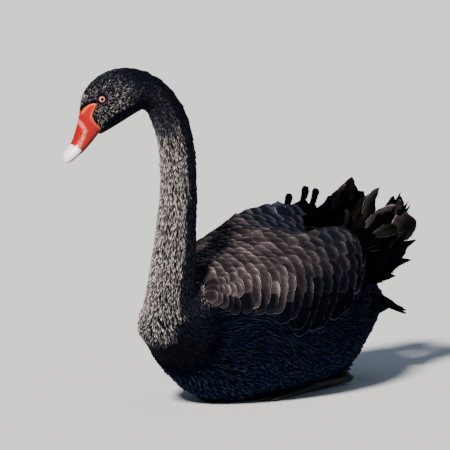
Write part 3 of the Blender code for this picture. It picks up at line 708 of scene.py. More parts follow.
def makeSkin():
    headPart = remeshed("skin", [nodes["head"], nodes["neck_upper"], nodes["neck_middle"]],
                        skinLayout["headVoxel"] * mm, 3)
    cores = [wingCore(1), wingCore(-1)]
    sources = [nodes["torso"], nodes["neck_lower"], nodes["neck_middle"]] + cores
    bodyPart = remeshed("bodySkin", sources, skinLayout["bodyVoxel"] * mm, 5)
    for part, past in ((headPart, -skinLayout["past"]), (bodyPart, skinLayout["past"])):
        largest(part)
        inset(part, part is bodyPart)
        cutAcross(part, skinLayout["joint"] + past, part is headPart)
    modify(headPart, "BOOLEAN", operation="UNION", solver="MANIFOLD", object=bodyPart)
    settle(headPart)
    for thing in [bodyPart] + cores:
        bpy.data.objects.remove(thing, do_unlink=True)

    def smoothSeam(work):
        low, high = ((skinLayout["joint"] + gap) * mm for gap in (-16, 16))
        seam = [v for v in work.verts if low < v.co.z < high]
        for _ in range(4):
            bmesh.ops.smooth_vert(work, verts=seam, factor=0.5, use_axis_x=True, use_axis_y=True,
                                  use_axis_z=True)

    reworked(headPart.data, smoothSeam)
    headPart.data.shade_smooth()
    dressField(headPart)
    return headPart


skin = makeSkin()
print("skin", len(skin.data.polygons))


# Vanes: closed thin forms, whose two faces meet in a sharp rim
def vaneFaces(top, under, rows, columns, tip):
    faces = []
    for r in range(rows - 1):
        for c in range(columns):
            faces.append((top[r, c], top[r, c + 1], top[r + 1, c + 1], top[r + 1, c]))
            faces.append((under[r, c], under[r + 1, c], under[r + 1, c + 1], under[r, c + 1]))
    for c in range(columns):
        faces.append((top[rows - 1, c], top[rows - 1, c + 1], tip))
        faces.append((under[rows - 1, c + 1], under[rows - 1, c], tip))
    return faces


# A vane along +Y, one long and one wide, which stands for one small feather
def vaneForm(name, rows, columns, widthAt, arch, cup, thick, sway=0.0, notch=(), ease=1.25):
    verts, along, across = [], [], []
    top, under = {}, {}

    def vertex(x, y, z, t, s):
        verts.append((x, y, z))
        along.append(t)
        across.append(s)
        return len(verts) - 1

    for r in range(rows):
        t = 1 - (1 - r / rows) ** ease
        half = widthAt(t) / 2
        for c in range(columns + 1):
            s = 2 * c / columns - 1
            z = arch * math.sin(math.pi * t) - cup * s * s * half
            x = s * half * (1 - sum(depth for row, column, depth in notch if row == r and column == c))
            x += sway * math.sin(2 * math.pi * t)
            swell = 0 if r == 0 or c in (0, columns) else thick * (1 - 0.6 * t)
            top[r, c] = under[r, c] = vertex(x, t, z + swell, t, s)
            if swell:
                under[r, c] = vertex(x, t, z - swell, t, s)
    tip = vertex(0, 1, arch * math.sin(math.pi), 1, 0)
    mesh = shaped(name, verts, vaneFaces(top, under, rows, columns, tip))
    mesh.shade_smooth()
    along, across = np.array(along), np.array(across)
    store(mesh, "along", along)
    store(mesh, "across", across)
    store(mesh, "stand", np.array([z for x, y, z in verts]))
    # Way in from the rim, as a share of half the width
    widths = np.array([widthAt(t) for t in along])
    store(mesh, "inner", np.minimum((1 - np.abs(across)) * widths / widths.max(), 1.8 * (1 - along)))
    return put(name, mesh)


def kinds(name, forms):
    # Variants of one feather, held in a collection of their own
    group = bpy.data.collections.new(name)
    for form in forms:
        group.objects.link(form)
        bpy.context.scene.collection.objects.unlink(form)
    return group


def taper(t):
    # Pointed tuft
    return (0.55 + 0.45 * math.sin(math.pi / 2 * min(t / 0.4, 1))) * (1 - max(t - 0.3, 0) / 0.7 * 0.75)


def rounded(t):
    # Broad feather with a rounded tip
    fall = math.sqrt(max(1 - (max(t - 0.5, 0) / 0.5) ** 2.4, 0))
    return (0.45 + 0.55 * math.sin(math.pi / 2 * min(t / 0.45, 1))) * fall


# Geometry Nodes that lay feathers. Each feather takes a patch of the unwrap, this wide, at its root's place.
patchSize = 0.003


def newTree(name, sockets):
    tree = bpy.data.node_groups.new(name, "GeometryNodeTree")
    for socket, kind in [("Geometry", "Geometry")] + sockets:
        tree.interface.new_socket(name=socket, in_out="INPUT", socket_type="NodeSocket" + kind)
    tree.interface.new_socket(name="Geometry", in_out="OUTPUT", socket_type="NodeSocketGeometry")
    start = tree.nodes.new("NodeGroupInput")
    return tree, lambda socket: Wire(tree, start.outputs[socket])


def named(tree, name, kind="FLOAT"):
    return add(tree, "GeometryNodeInputNamedAttribute", {"data_type": kind}, {"Name": name}, "Attribute")


def keep(tree, geometry, name, value, domain="POINT", kind="FLOAT"):
    return add(tree, "GeometryNodeStoreNamedAttribute", {"data_type": kind, "domain": domain},
               {"Geometry": geometry, "Name": name, "Value": value})


def layForms(tree, points, group, finish, angles, scale):
    # One of the group's forms on each point, along its lie and its outward way, then leant by the angles
    ways = {"Primary Axis": named(tree, "out", "FLOAT_VECTOR"),
            "Secondary Axis": named(tree, "lie", "FLOAT_VECTOR")}
    facing = add(tree, "FunctionNodeAxesToRotation", {"primary_axis": "Z", "secondary_axis": "Y"}, ways)
    lean = add(tree, "FunctionNodeEulerToRotation", {}, [add(tree, "ShaderNodeCombineXYZ", {}, angles)])
    facing = add(tree, "FunctionNodeRotateRotation", {"rotation_space": "LOCAL"},
                 {"Rotation": facing, "Rotate By": lean})
    forms = add(tree, "GeometryNodeCollectionInfo", {"transform_space": "ORIGINAL"},
                {"Collection": group, "Separate Children": True, "Reset Children": True})
    laid = add(tree, "GeometryNodeInstanceOnPoints", {},
               {"Points": points, "Instance": forms, "Pick Instance": True, "Rotation": facing,
                "Scale": add(tree, "ShaderNodeCombineXYZ", {}, scale)})
    laid = add(tree, "GeometryNodeRealizeInstances", {}, {"Geometry": laid})
    u = named(tree, "spotU") + named(tree, "across") * (patchSize / 2)
    v = named(tree, "spotV") + (named(tree, "along") - 0.5) * patchSize
    laid = keep(tree, laid, "OFBake", add(tree, "ShaderNodeCombineXYZ", {}, [u, v, 0.0]), "CORNER", "FLOAT2")
    laid = add(tree, "GeometryNodeSetMaterial", {}, {"Geometry": laid, "Material": finish})
    tree.links.new(laid.socket, tree.nodes.new("NodeGroupOutput").inputs[0])
    return tree


def coatTree():
    tree, given = newTree("layCoat", [
        ("Spacing", "Float"), ("Most per metre", "Float"), ("Seed", "Int"), ("Tuft", "Collection"),
        ("Length", "Float"), ("Width", "Float"), ("Lift", "Float"), ("Stray", "Float"),
        ("Round the neck", "Float"), ("Cover", "String"), ("Finish", "Material")])

    def chance(low, high, seed):
        return add(tree, "FunctionNodeRandomValue", {"data_type": "FLOAT"},
                   {"Min": low, "Max": high, "Seed": given("Seed") + seed})

    spots = add(tree, "GeometryNodeDistributePointsOnFaces", {"distribute_method": "POISSON"},
                {"Mesh": given("Geometry"), "Distance Min": given("Spacing"),
                 "Density Max": given("Most per metre"), "Density Factor": named(tree, given("Cover")),
                 "Seed": given("Seed")}, "Points")
    marked = keep(tree, spots, "shade", chance(0.0, 1.0, 1))
    isNeck = given("Round the neck")
    parts = add(tree, "ShaderNodeSeparateXYZ", {}, [add(tree, "GeometryNodeInputPosition")])
    neckTurn = named(tree, "neckSin").maths("ARCTAN2", named(tree, "neckCos"))
    bodyTurn = parts.out("X").maths("ARCTAN2", parts.out("Z") - 0.095)
    turn = neckTurn * isNeck + bodyTurn * (1 - isNeck)
    run = named(tree, "neckRun") * isNeck + named(tree, "bodyRun") * (1 - isNeck)
    marked = keep(tree, marked, "spotU", 0.5 + turn * (0.48 / math.pi))
    marked = keep(tree, marked, "spotV", run)
    angles = [given("Lift") * chance(0.6, 1.5, 2), given("Stray") * chance(-0.5, 0.5, 3),
              given("Stray") * chance(-1.0, 1.0, 4)]
    length = given("Length") * named(tree, "grow") * chance(0.75, 1.2, 5)
    width = given("Width") * named(tree, "grow") * chance(0.8, 1.2, 6)
    return layForms(tree, marked, given("Tuft"), given("Finish"), angles, [width, length, length])


def tierTree():
    tree, given = newTree("layTiers", [("Vane", "Collection"), ("Finish", "Material")])
    angles = [0.0, named(tree, "roll"), named(tree, "stray")]
    scale = [named(tree, key) for key in ("wide", "long", "long")]
    return layForms(tree, given("Geometry"), given("Vane"), given("Finish"), angles, scale)


layCoat = coatTree()
layTiers = tierTree()


def grown(name, mesh, tree, inputs):
    # An object with the plain mesh that the tree makes of this one
    thing = put(name, mesh)
    step = modify(thing, "NODES", node_group=tree)
    for item in tree.interface.items_tree:
        if item.name in inputs:
            step[item.identifier] = inputs[item.name]
    return settle(thing)


spareFields = ("lie", "neckCos", "neckSin", "neckRun", "bodyRun", "spotU", "spotV", "headCover", "neckCover",
               "napeCover", "faceCover", "breastCover", "flankCover", "bellyCover", "grow", "long", "wide",
               "roll", "stray", "out", "stand")


def trim(mesh):
    for name in spareFields:
        if name in mesh.attributes:
            mesh.attributes.remove(mesh.attributes[name])


# Share of a feather's depth below the floor that stays where the belly presses it flat
pressed = 0.05


def coat(name, tuft, finish, slot, spacing, most, long, wide, lift, stray, neck, seed):
    # Runs the coat tree over a copy of the skin
    carrier = grown(name, skin.data.copy(), layCoat, {
        "Spacing": spacing * mm, "Most per metre": most, "Seed": seed, "Tuft": tuft, "Length": long * mm,
        "Width": wide * mm, "Lift": math.radians(lift), "Stray": math.radians(stray), "Round the neck": neck,
        "Cover": name.replace("Coat", "Cover"), "Finish": finish})
    points = positions(carrier.data)
    points[:, 2] = np.where(points[:, 2] < 0, points[:, 2] * pressed, points[:, 2])
    setPositions(carrier.data, points)
    trim(carrier.data)
    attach(carrier, "root")
    print(name, len(carrier.data.polygons))


hairs = kinds("hairs", [vaneForm("hair", 3, 2, taper, 0.05, 0.5, 0.02)])
waves = kinds("waves", [vaneForm("wave" + str(i), 5, 2, taper, 0.05, 0.5, 0.02, sway)
                        for i, sway in enumerate((0.05, -0.05, 0.02))])

coats = {
    # name: form, finish, slot, spacing in mm, most to the square metre, length and width in mm, lift and
    # stray in degrees, 1 where it's unwrapped round the neck, seed
    "faceCoat": (hairs, headFinish, "head_plumage", 0.92, 1800000, 3.2, 1.15, 8, 16, 1.0, 10),
    "headCoat": (hairs, headFinish, "head_plumage", 1.15, 1200000, 4.8, 1.5, 8, 16, 1.0, 11),
    "neckCoat": (waves, neckFinish, "neck_plumage", 1.9, 400000, 11, 3.0, 9, 15, 1.0, 12),
    "napeCoat": (waves, neckFinish, "neck_plumage", 1.8, 500000, 10, 2.6, 9, 15, 1.0, 17),
    "breastCoat": (waves, neckFinish, "body_plumage", 2.6, 260000, 11, 4.4, 10, 12, 0.0, 13),
    "flankCoat": (waves, flankFinish, "body_plumage", 3.3, 260000, 26, 4.0, 5, 7, 0.0, 15),
    "bellyCoat": (waves, flankFinish, "body_plumage", 4.6, 100000, 18, 9, 5, 8, 0.0, 16),
}
for name, plan in coats.items():
    coat(name, *plan)


# How the coverts lie in mm: depth of a root, height of a tip, height of one side over the other, lift of
# the tip, and how far from the drape a feather may end before it's laid down or dropped
tierLie = {"root": 1.6, "tip": 3.6, "lap": 0.55, "lift": 1.3, "near": 5.6, "off": 10.0}


def conform(mesh, side):
    # Bends each feather over the drape, so that it stands over it only by its own form and its tier
    points = positions(mesh)
    out = unit(recall(mesh, "out", 3))
    along = recall(mesh, "along")
    want = (tierLie["root"] + tierLie["tip"]) * along - tierLie["root"] + tierLie["lift"] * along ** 5
    want = (want + tierLie["lap"] * side * recall(mesh, "across")) * mm
    want = want + recall(mesh, "stand") * recall(mesh, "long")
    for _ in range(3):
        near = [(Vector(point), drape.find_nearest(point)) for point in points.tolist()]
        gap = np.array([(point - found[0]).dot(found[1]) for point, found in near])
        points = points + out * (want - gap)[:, None]
    # What still stands off, beyond a ridge, is laid down; a feather that ends far off is dropped
    near = [drape.find_nearest(point) for point in points.tolist()]
    off = np.array([found[3] for found in near]) / mm
    for i in np.flatnonzero(off > tierLie["near"]):
        points[i] = near[i][0] + near[i][1] * float(want[i])
    setPositions(mesh, points)
    # Each feather is told by its own shade
    feathers, which = np.unique(recall(mesh, "shade"), return_inverse=True)
    worst = np.zeros(len(feathers))
    np.maximum.at(worst, which, off)
    spare = np.flatnonzero(worst[which] > tierLie["off"])
    reworked(mesh, lambda work: bmesh.ops.delete(work, geom=[work.verts[i] for i in spare], context="VERTS"))


def tiers(name, roots, vane, finish, side):
    # Lays one vane on each root and bends them over the drape
    mesh = shaped(name, [root["at"] for root in roots], [])
    for key in roots[0]:
        if key != "at":
            store(mesh, key, np.array([root[key] for root in roots], float))
    thing = grown(name, mesh, layTiers, {"Vane": vane, "Finish": finish})
    conform(thing.data, side)
    trim(thing.data)
    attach(thing, "root")
    print(name, len(thing.data.polygons))
    return thing


# Rows of back and wing feathers: station y, step back, length, width in mm
covertSizes = [(-228, 3.6, 16, 20), (-190, 4.6, 21, 28), (-140, 5.8, 28, 38), (-100, 7.4, 34, 44),
               (-60, 9.4, 41, 47), (-10, 11.5, 47, 48), (60, 12.5, 50, 48), (150, 11.0, 44, 44)]
# On the far wing the rows stand closer and the feathers are narrower: share of step, share of width, and a
# factor of the painted sky sheen
farSizes = (0.85, 0.82, 2.0)
# Shares of a width or a step, ways of the surface where no feather starts, angles in degrees, and the painted
# light
rowPlan = {"endsBefore": 16, "stagger": 0.36, "apart": 0.76, "scatter": 0.4, "foldWay": -0.66,
           "neckEnd": -210, "neckWay": 0.6, "down": 0.34, "downInside": 0.1, "sharpest": 0.7, "half": 0.42,
           "farWeight": 1.4, "roll": 3.0, "stray": 4, "least": 0.02, "sky": {1: 0.34, -1: 0.14},
           "front": 0.97, "edge": 0.16}
neckLine = pathSamples()[1]


def makeMound():
    # The scapulars fill the hollow between the wings, and a valley opens behind them
    rows = []
    for y in np.linspace(-205, 138, 44):
        farX, farZ = follow(wingStations[-1], y)[2:4]
        nearX, nearZ = follow(wingStations[1], min(y, 100))[2:4]
        nearZ = nearZ - 50 * rise(y, 85, 125) + 7 * rise(y, -80, 0)
        farZ += 14 * rise(y, -80, 0)
        crown = 8 * (1 - rise(y, -70, -10))
        valley = 34 * rise(y, -50, 70)
        ring = []
        for t in np.linspace(0, 1, 17):
            swell = 4 * t * (1 - t)
            z = farZ * (1 - t) + nearZ * t + crown * swell - valley * swell ** 0.8
            ring.append(((farX + nearX) * t - farX, y, z))
        rows.append(ring + [(nearX, y, 130), (-farX, y, 130)])
    return loft("mound", rows)


def makeDrape():
    # The body's surface drawn smooth, most at the shoulders, which the feathers follow
    cores = [wingCore(1), wingCore(-1), makeMound()]
    thing = remeshed("drape", [nodes["torso"], nodes["neck_lower"]] + cores, 4 * mm, 22)
    y = positions(thing.data)[:, 1] / mm
    group = thing.vertex_groups.new(name="front")
    for i, weight in enumerate(rise(-y, 125, 165).tolist()):
        group.add([i], weight, "REPLACE")
    modify(thing, "SMOOTH", factor=0.5, iterations=60, vertex_group="front")
    settle(thing)
    faces = [tuple(p.vertices) for p in thing.data.polygons]
    tree = BVHTree.FromPolygons(positions(thing.data).tolist(), faces)
    for spare in [thing] + cores:
        bpy.data.objects.remove(spare, do_unlink=True)
    return tree


drape = makeDrape()


def backSection(y, side):
    # Points and normals of the drape across the back, from the middle outwards and down one side
    middle = Vector((0, y, 100)) * mm
    found = []
    for angle in np.linspace(0.5, 112, 190):
        turn = math.radians(angle)
        way = Vector((side * math.sin(turn), 0, math.cos(turn)))
        spot, out = drape.ray_cast(middle + way * 0.4, -way)[:2]
        if spot is None:
            continue
        close = np.linalg.norm(neckLine - np.array(spot), axis=1).min() / mm
        if close > 46 or spot.z < 140 * mm:
            found.append((spot, out))
    return found


def flat(way, out):
    # The part of a way that runs along the surface
    return (way - out * way.dot(out)).normalized()


def covertRoots(side):
    # Staggered rows over the back and the folded wing: small feathers behind the neck, broad ones behind
    roots = []
    y = covertSizes[0][0]
    row = 0
    edges = covertEdge[side]
    while y < edges[0][-1] - rowPlan["endsBefore"]:
        step, long, wide = follow(covertSizes, y)
        if side < 0:
            step, wide = step * farSizes[0], wide * farSizes[1]
        section = backSection(y, side)
        walk = wide * rowPlan["stagger"] * (row % 2)
        travelled = 0.0
        before = section[0][0]
        for spot, out in section:
            travelled += (spot - before).length / mm
            before = spot
            # None starts in the fold behind the neck
            fold = out.y < rowPlan["foldWay"] or (y < rowPlan["neckEnd"] and out.z < rowPlan["neckWay"])
            if travelled < walk or fold:
                continue
            walk += wide * rowPlan["apart"] * rng.uniform(0.93, 1.07)
            down = flat(Vector((0, 0, -1)), out)
            radial = Vector((spot.x, spot.y - neckAxisY * mm, 0)).normalized()
            back = flat(Vector((0, 1, 0)) + radial * 0.5 * rise(-y, 110, 190), out)
            steep = min(max(1 - out.z, 0.0), 1.0)
            slope = rowPlan["downInside"] * steep
            if out.x * side > -0.1:
                slope = rowPlan["down"] * steep * rise(y, -215, -60)
            slope += rng.uniform(-0.04, 0.04)
            lie = (back * (1 - abs(slope)) + down * slope).normalized()
            reach = long * rng.uniform(0.94, 1.06) * mm
            root = spot - out * tierLie["root"] * mm
            root += back * rng.uniform(-1, 1) * step * rowPlan["scatter"] * mm
            far, farOut = drape.find_nearest(spot + lie * reach)[:2]
            if out.dot(farOut) < rowPlan["sharpest"]:
                continue
            tip = far + farOut * tierLie["tip"] * mm
            # None ends past the edge of the coverts, and the last above it get less painted light
            lowest = min(tip.z / mm, (root.z + tip.z) / 2 / mm - rowPlan["half"] * wide * steep)
            above = lowest - np.interp(tip.y / mm, *edges)
            if above < 0:
                continue
            lie = (tip - root).normalized()
            # Painted light: lighter at the front of the back and where the feathers face the sky
            level = rise(out.z, 0.45, 0.9)
            low = 55 * rise(-spot.z / mm, -165, -125)
            front = rise(-y, (85 + low) * (1 - level) + 10 * level, (145 + low) * (1 - level) + 95 * level)
            sky = rise(out.z, 0.1, 0.95)
            light = rowPlan["least"] + rowPlan["sky"][side] * sky
            light += (rowPlan["front"] - light) * front
            light *= rowPlan["edge"] + (1 - rowPlan["edge"]) * rise(above, 2, 20)
            mean = (out + farOut * rowPlan["farWeight"]).normalized()
            roots.append({
                "at": root, "out": flat(mean, lie), "lie": lie,
                "long": (tip - root).length, "wide": wide * rng.uniform(0.94, 1.06) * (1 + 0.2 * steep) * mm,
                "roll": math.radians(rowPlan["roll"] * side),
                "stray": math.radians(rng.uniform(-rowPlan["stray"], rowPlan["stray"])),
                "tone": min(light * rng.uniform(0.75, 1.15), 1.0), "shade": rng.uniform(0, 1),
                # Painted sky sheen on feathers that face up, away from the front, stronger on the far wing
                "skySheen": sky * (1 - front) * (1 if side > 0 else farSizes[2]),
                "spotU": 0.5 + side * min(travelled / 560, 0.48), "spotV": 0.02 + 0.96 * (y + 230) / 400,
            })
        y += step
        row += 1
    print("coverts", side, len(roots))
    return roots


broads = kinds("broads", [vaneForm("broad" + str(i), 7, 8, rounded, 0.06, 0.13, 0.008, 0.0, notch, 1.7)
                          for i, notch in enumerate(((), ((4, 2, 0.08), (3, 8, 0.08)), ((4, 7, 0.10),),
                                                     ((3, 0, 0.08), (5, 5, 0.10))))])
for side, word in ((1, "Left"), (-1, "Right")):
    wing = tiers("coverts" + word, covertRoots(side), broads, wingFinish, side)
    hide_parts("wing_left" if side > 0 else "wing_right")


# Long feathers, each laid along its own curve. What a plan doesn't state is taken from here; bend, width,
# curl and wave are in mm.
plumeForm = {"face": (0, 0, 1), "bendAt": 0.5, "curl": 0.0, "widest": 0.55, "point": 0.5, "cup": 0.5,
             "fray": 0.05, "twist": 0.0, "wave": 0.0, "shade": 0.5, "rows": 16, "columns": 8, "buried": 10,
             "thick": (0.55, 0.3), "shaft": 1.8, "waves": 2.3}


class Plumes:
    def __init__(self):
        self.verts, self.faces, self.along, self.across = [], [], [], []
        self.inner, self.tone, self.shade, self.patch = [], [], [], []

    def lay(self, **plan):
        # A vane from root to tip over a bend, with a cupped blade, a waved rim with splits and a curled end
        plan = dict(plumeForm, **plan)
        rows, columns = plan["rows"], plan["columns"]
        root, finish = plan["root"], plan["tip"]
        axis = (finish - root).normalized()
        side = axis.cross(Vector(plan["face"])).normalized()
        up = side.cross(axis).normalized()
        start = root - axis * plan["buried"] * mm
        curl = up * (plan["curl"] * mm)
        tip = finish - curl
        control = start.lerp(tip, plan["bendAt"]) + up * (plan["bend"] * mm)
        width = plan["width"] * mm
        wave = plan["wave"] * mm
        base = len(self.verts)
        top, under = {}, {}

        def vertex(point, t, s, inner):
            self.verts.append(point)
            self.along.append(t)
            self.across.append(s)
            self.inner.append(inner)
            return len(self.verts) - 1

        fray = rng.uniform(0, 1, (rows + 1, 2)) ** 2
        phase = rng.uniform(0, 2 * math.pi, 2)
        for r in range(rows):
            t = 1 - (1 - r / rows) ** 1.3
            centre = start * (1 - t) ** 2 + control * 2 * t * (1 - t) + tip * t * t + curl * t ** 5
            run = ((control - start) * (1 - t) + (tip - control) * t + curl * 2.5 * t ** 4).normalized()
            across = Matrix.Rotation(plan["twist"] * t * t, 3, run) @ side
            normal = across.cross(run).normalized()
            swell = math.sin(math.pi / 2 * min(t / plan["widest"], 1.0))
            past = max(t - plan["widest"], 0.0) / (1 - plan["widest"])
            half = width / 2 * (0.35 + 0.65 * swell) * max(1 - past ** 2, 0.0) ** plan["point"]
            for c in range(columns + 1):
                s = 2 * c / columns - 1
                reach = half * s
                if c in (0, columns) and t > 0.25:
                    reach *= 1 - plan["fray"] * fray[r, 0 if c else 1]
                ripple = wave * math.sin(2 * math.pi * plan["waves"] * t + phase[0 if s < 0 else 1])
                ripple = ripple * s * s * min(t * 2, 1)
                point = centre + across * reach + normal * (ripple - half * plan["cup"] * s * s)
                inner = (1 - abs(s)) * half / width * 2
                if r == 0 or c in (0, columns):
                    top[r, c] = under[r, c] = vertex(point, t, s, inner)
                else:
                    thick = (plan["thick"][0] - plan["thick"][1] * t) * mm
                    thick *= (1.0 if abs(s) > 0.1 else plan["shaft"]) / 2
                    top[r, c] = vertex(point + normal * thick, t, s, inner)
                    under[r, c] = vertex(point - normal * thick, t, s, inner)
        self.faces += vaneFaces(top, under, rows, columns, vertex(finish, 1.0, 0.0, 0.0))
        added = len(self.verts) - base
        self.tone += [plan["tone"]] * added
        self.shade += [plan["shade"]] * added
        self.patch += [plan["spot"]] * added

    def build(self, name, finish):
        mesh = shaped(name, self.verts, self.faces, True)
        for key in ("along", "across", "inner", "tone", "shade"):
            store(mesh, key, np.array(getattr(self, key), float))
        patch = np.array(self.patch)
        patch[:, 0] += np.array(self.across) * patchSize / 2
        patch[:, 1] += (np.array(self.along) - 0.5) * patchSize
        corner = np.empty(len(mesh.loops), int)
        mesh.loops.foreach_get("vertex_index", corner)
        mesh.uv_layers.new(name="OFBake").data.foreach_set("uv", patch[corner].reshape(-1))
        thing = put(name, mesh, finish)
        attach(thing, "root")
        print(name, len(mesh.polygons))
        return thing


# Ruffled feathers behind each wing: share of the fan, then root and tip (x, y, z) in mm, from the top down
ruffles = {
    1: [(0.0, 22, 88, 198, 6, 294, 250), (0.25, 36, 96, 200, 27, 281, 239), (0.5, 50, 98, 190, 48, 268, 210),
        (0.65, 58, 96, 176, 52, 260, 185), (0.8, 60, 93, 160, 42, 260, 156),
        (1.0, 58, 88, 140, 34, 234, 138)],
    -1: [(0.0, 22, 118, 206, 32, 294, 252), (0.25, 40, 128, 220, 66, 276, 265),
         (0.5, 56, 130, 212, 82, 262, 236), (0.65, 62, 128, 196, 80, 256, 204),
         (0.8, 64, 123, 176, 66, 252, 168), (1.0, 60, 113, 148, 46, 234, 142)],
}
ruffleRanks = [
    # count, least and most reach, least and most width in mm, bend in mm, step outwards in mm
    (12, 0.82, 0.93, 32, 46, -22, 0), (11, 0.64, 0.80, 34, 48, -18, 4), (9, 0.44, 0.60, 34, 44, -12, 8),
]
# Single feathers at the fan's rim: root, tip, then width, bend and curl in mm, tone, point, tilt in degrees
singles = {
    1: [
        ((4, 205, 214), (-5, 252, 258), 19, -5, 4, 0.5, 1.1, 60),
        ((24, 120, 206), (8, 285, 251), 30, -32, 18, 0.0, 1.2, 10),
        ((30, 120, 205), (18, 291, 238), 20, -24, 14, 0.0, 1.2, 15),
        ((34, 120, 203), (20, 293, 232), 16, -22, 12, 0.1, 1.2, 20),
        ((38, 165, 214), (35, 233, 237), 20, -8, 5, 0.9, 0.9, 55),
        ((46, 190, 208), (36, 265, 224), 16, -8, 5, 1.0, 0.9, 60),
        ((50, 212, 203), (40, 276, 212), 42, 8, -2, 0.5, 0.5, 80),
        ((54, 165, 204), (48, 219, 208), 20, 5, -3, 0.35, 0.7, 50),
        ((56, 104, 190), (40, 280, 184), 30, -16, 10, 0.0, 1.2, 60),
        ((60, 98, 170), (44, 262, 157), 30, -16, 10, 0.0, 1.2, 80),
        ((60, 94, 154), (42, 227, 137), 30, -12, 7, 0.15, 1.1, 90),
        ((60, 90, 148), (42, 213, 135), 22, -10, 5, 0.0, 1.1, 95),
        ((58, 88, 142), (40, 199, 131), 20, -10, 5, 0.0, 1.1, 95),
        ((56, 86, 138), (42, 175, 132), 20, -8, 4, 0.0, 1.0, 95),
    ],
    -1: [
        ((-46, 190, 214), (-50, 247, 270), 32, -6, 5, 0.08, 0.8, -20),
        ((-52, 180, 214), (-58, 239, 261), 26, -5, 4, 0.4, 0.8, -20),
        ((-40, 195, 212), (-40, 253, 251), 32, -5, 3, 0.0, 0.7, -20),
        ((-30, 200, 208), (-30, 256, 242), 30, -4, 3, 0.0, 0.7, -20),
        ((-56, 172, 210), (-62, 218, 238), 24, -5, 5, 0.1, 0.8, -20),
        ((-20, 200, 205), (-20, 250, 240), 30, -4, 3, 0.0, 0.7, 0),
        ((-62, 96, 224), (-68, 162, 243), 36, -2, 2, 0.0, 0.6, -15),
        ((-60, 104, 222), (-65, 177, 238), 36, -3, 2, 0.0, 0.6, -15),
        ((-58, 112, 220), (-62, 192, 232), 36, -4, 3, 0.0, 0.6, -15),
    ],
}
curls = {"tips": [(-75, 130, 255), (-70, 162, 263), (-64, 178, 259)], "run": (6, -22, -30)}
primaries = {"root": (96, 160), "feathers": [(30, 14, 232, 152), (36, 22, 244, 147), (42, 30, 236, 141)]}


def makeFan(side):
    plumes = Plumes()
    for count, least, most, thin, broad, bend, step in ruffleRanks:
        for i in range(count):
            share = min(max((i + rng.uniform(-0.25, 0.25)) / (count - 1), 0.0), 1.0)
            rx, ry, rz, tx, ty, tz = follow(ruffles[side], share)
            tilt = math.radians(-20 + 115 * share)
            face = Vector((side * math.sin(tilt), 0, math.cos(tilt)))
            root = Vector((side * rx, ry, rz)) * mm + face * step * mm
            tip = Vector((side * tx, ty, tz)) * mm
            tip = root + (tip - root) * rng.uniform(least, most)
            tip += Vector((rng.uniform(-3, 3), 0, rng.uniform(-3, 3))) * mm
            # The lower half of the fan is kept near black: painted shade
            plumes.lay(root=root, tip=tip, face=face, bend=bend * rng.uniform(0.6, 1.3),
                       bendAt=rng.uniform(0.66, 0.8), width=rng.uniform(thin, broad),
                       widest=rng.uniform(0.45, 0.6), point=rng.uniform(0.6, 1.1), cup=0.45, fray=0.15,
                       twist=rng.uniform(-0.6, 0.6), wave=rng.uniform(1, 2.5),
                       tone=rng.uniform(0, 1) ** 2 * (0.35 if share < 0.45 else 0.05),
                       shade=rng.uniform(0, 1),
                       spot=(0.05 + 0.9 * share, 0.2 + 0.3 * least + 0.1 * rng.uniform(0, 1)))
    for root, tip, width, bend, curl, tone, point, tilt in singles[side]:
        tilt = math.radians(tilt)
        plumes.lay(root=Vector(root) * mm, tip=Vector(tip) * mm,
                   face=(side * math.sin(tilt), 0, math.cos(tilt)), bend=bend, bendAt=0.7, curl=curl,
                   width=width, widest=0.5, point=point, fray=0.15, twist=rng.uniform(-0.3, 0.3), wave=1.2,
                   tone=tone, shade=0.8, spot=(0.5 + tip[0] / 140, 0.72))
    for rootX, tipX, tipY, tipZ in primaries["feathers"]:
        plumes.lay(root=Vector((side * rootX, *primaries["root"])) * mm,
                   tip=Vector((side * tipX, tipY, tipZ)) * mm, bend=5, width=22, widest=0.6, cup=0.3,
                   tone=0.2, spot=(0.1 + rootX / 60, 0.85))
    if side < 0:
        for x, y, z in curls["tips"]:
            tip = Vector((x, y, z)) * mm
            plumes.lay(root=tip + Vector(curls["run"]) * mm, tip=tip, bend=-6, bendAt=0.75, width=12,
                       widest=0.8, point=0.35, fray=0.3, tone=0.0, spot=(0.5 + x / 500, 0.92))
    word = "Left" if side > 0 else "Right"
    plumes.build("fan" + word, fanFinish)


makeFan(1)
makeFan(-1)


# Tail: a low fan under its coverts
tailPlan = {"root": (0, 196, 112), "tip": (0, 277, 86), "count": 13, "coverts": 9}
tailCovert = {"widest": 0.55, "point": 0.45, "cup": 0.35, "fray": 0.08}


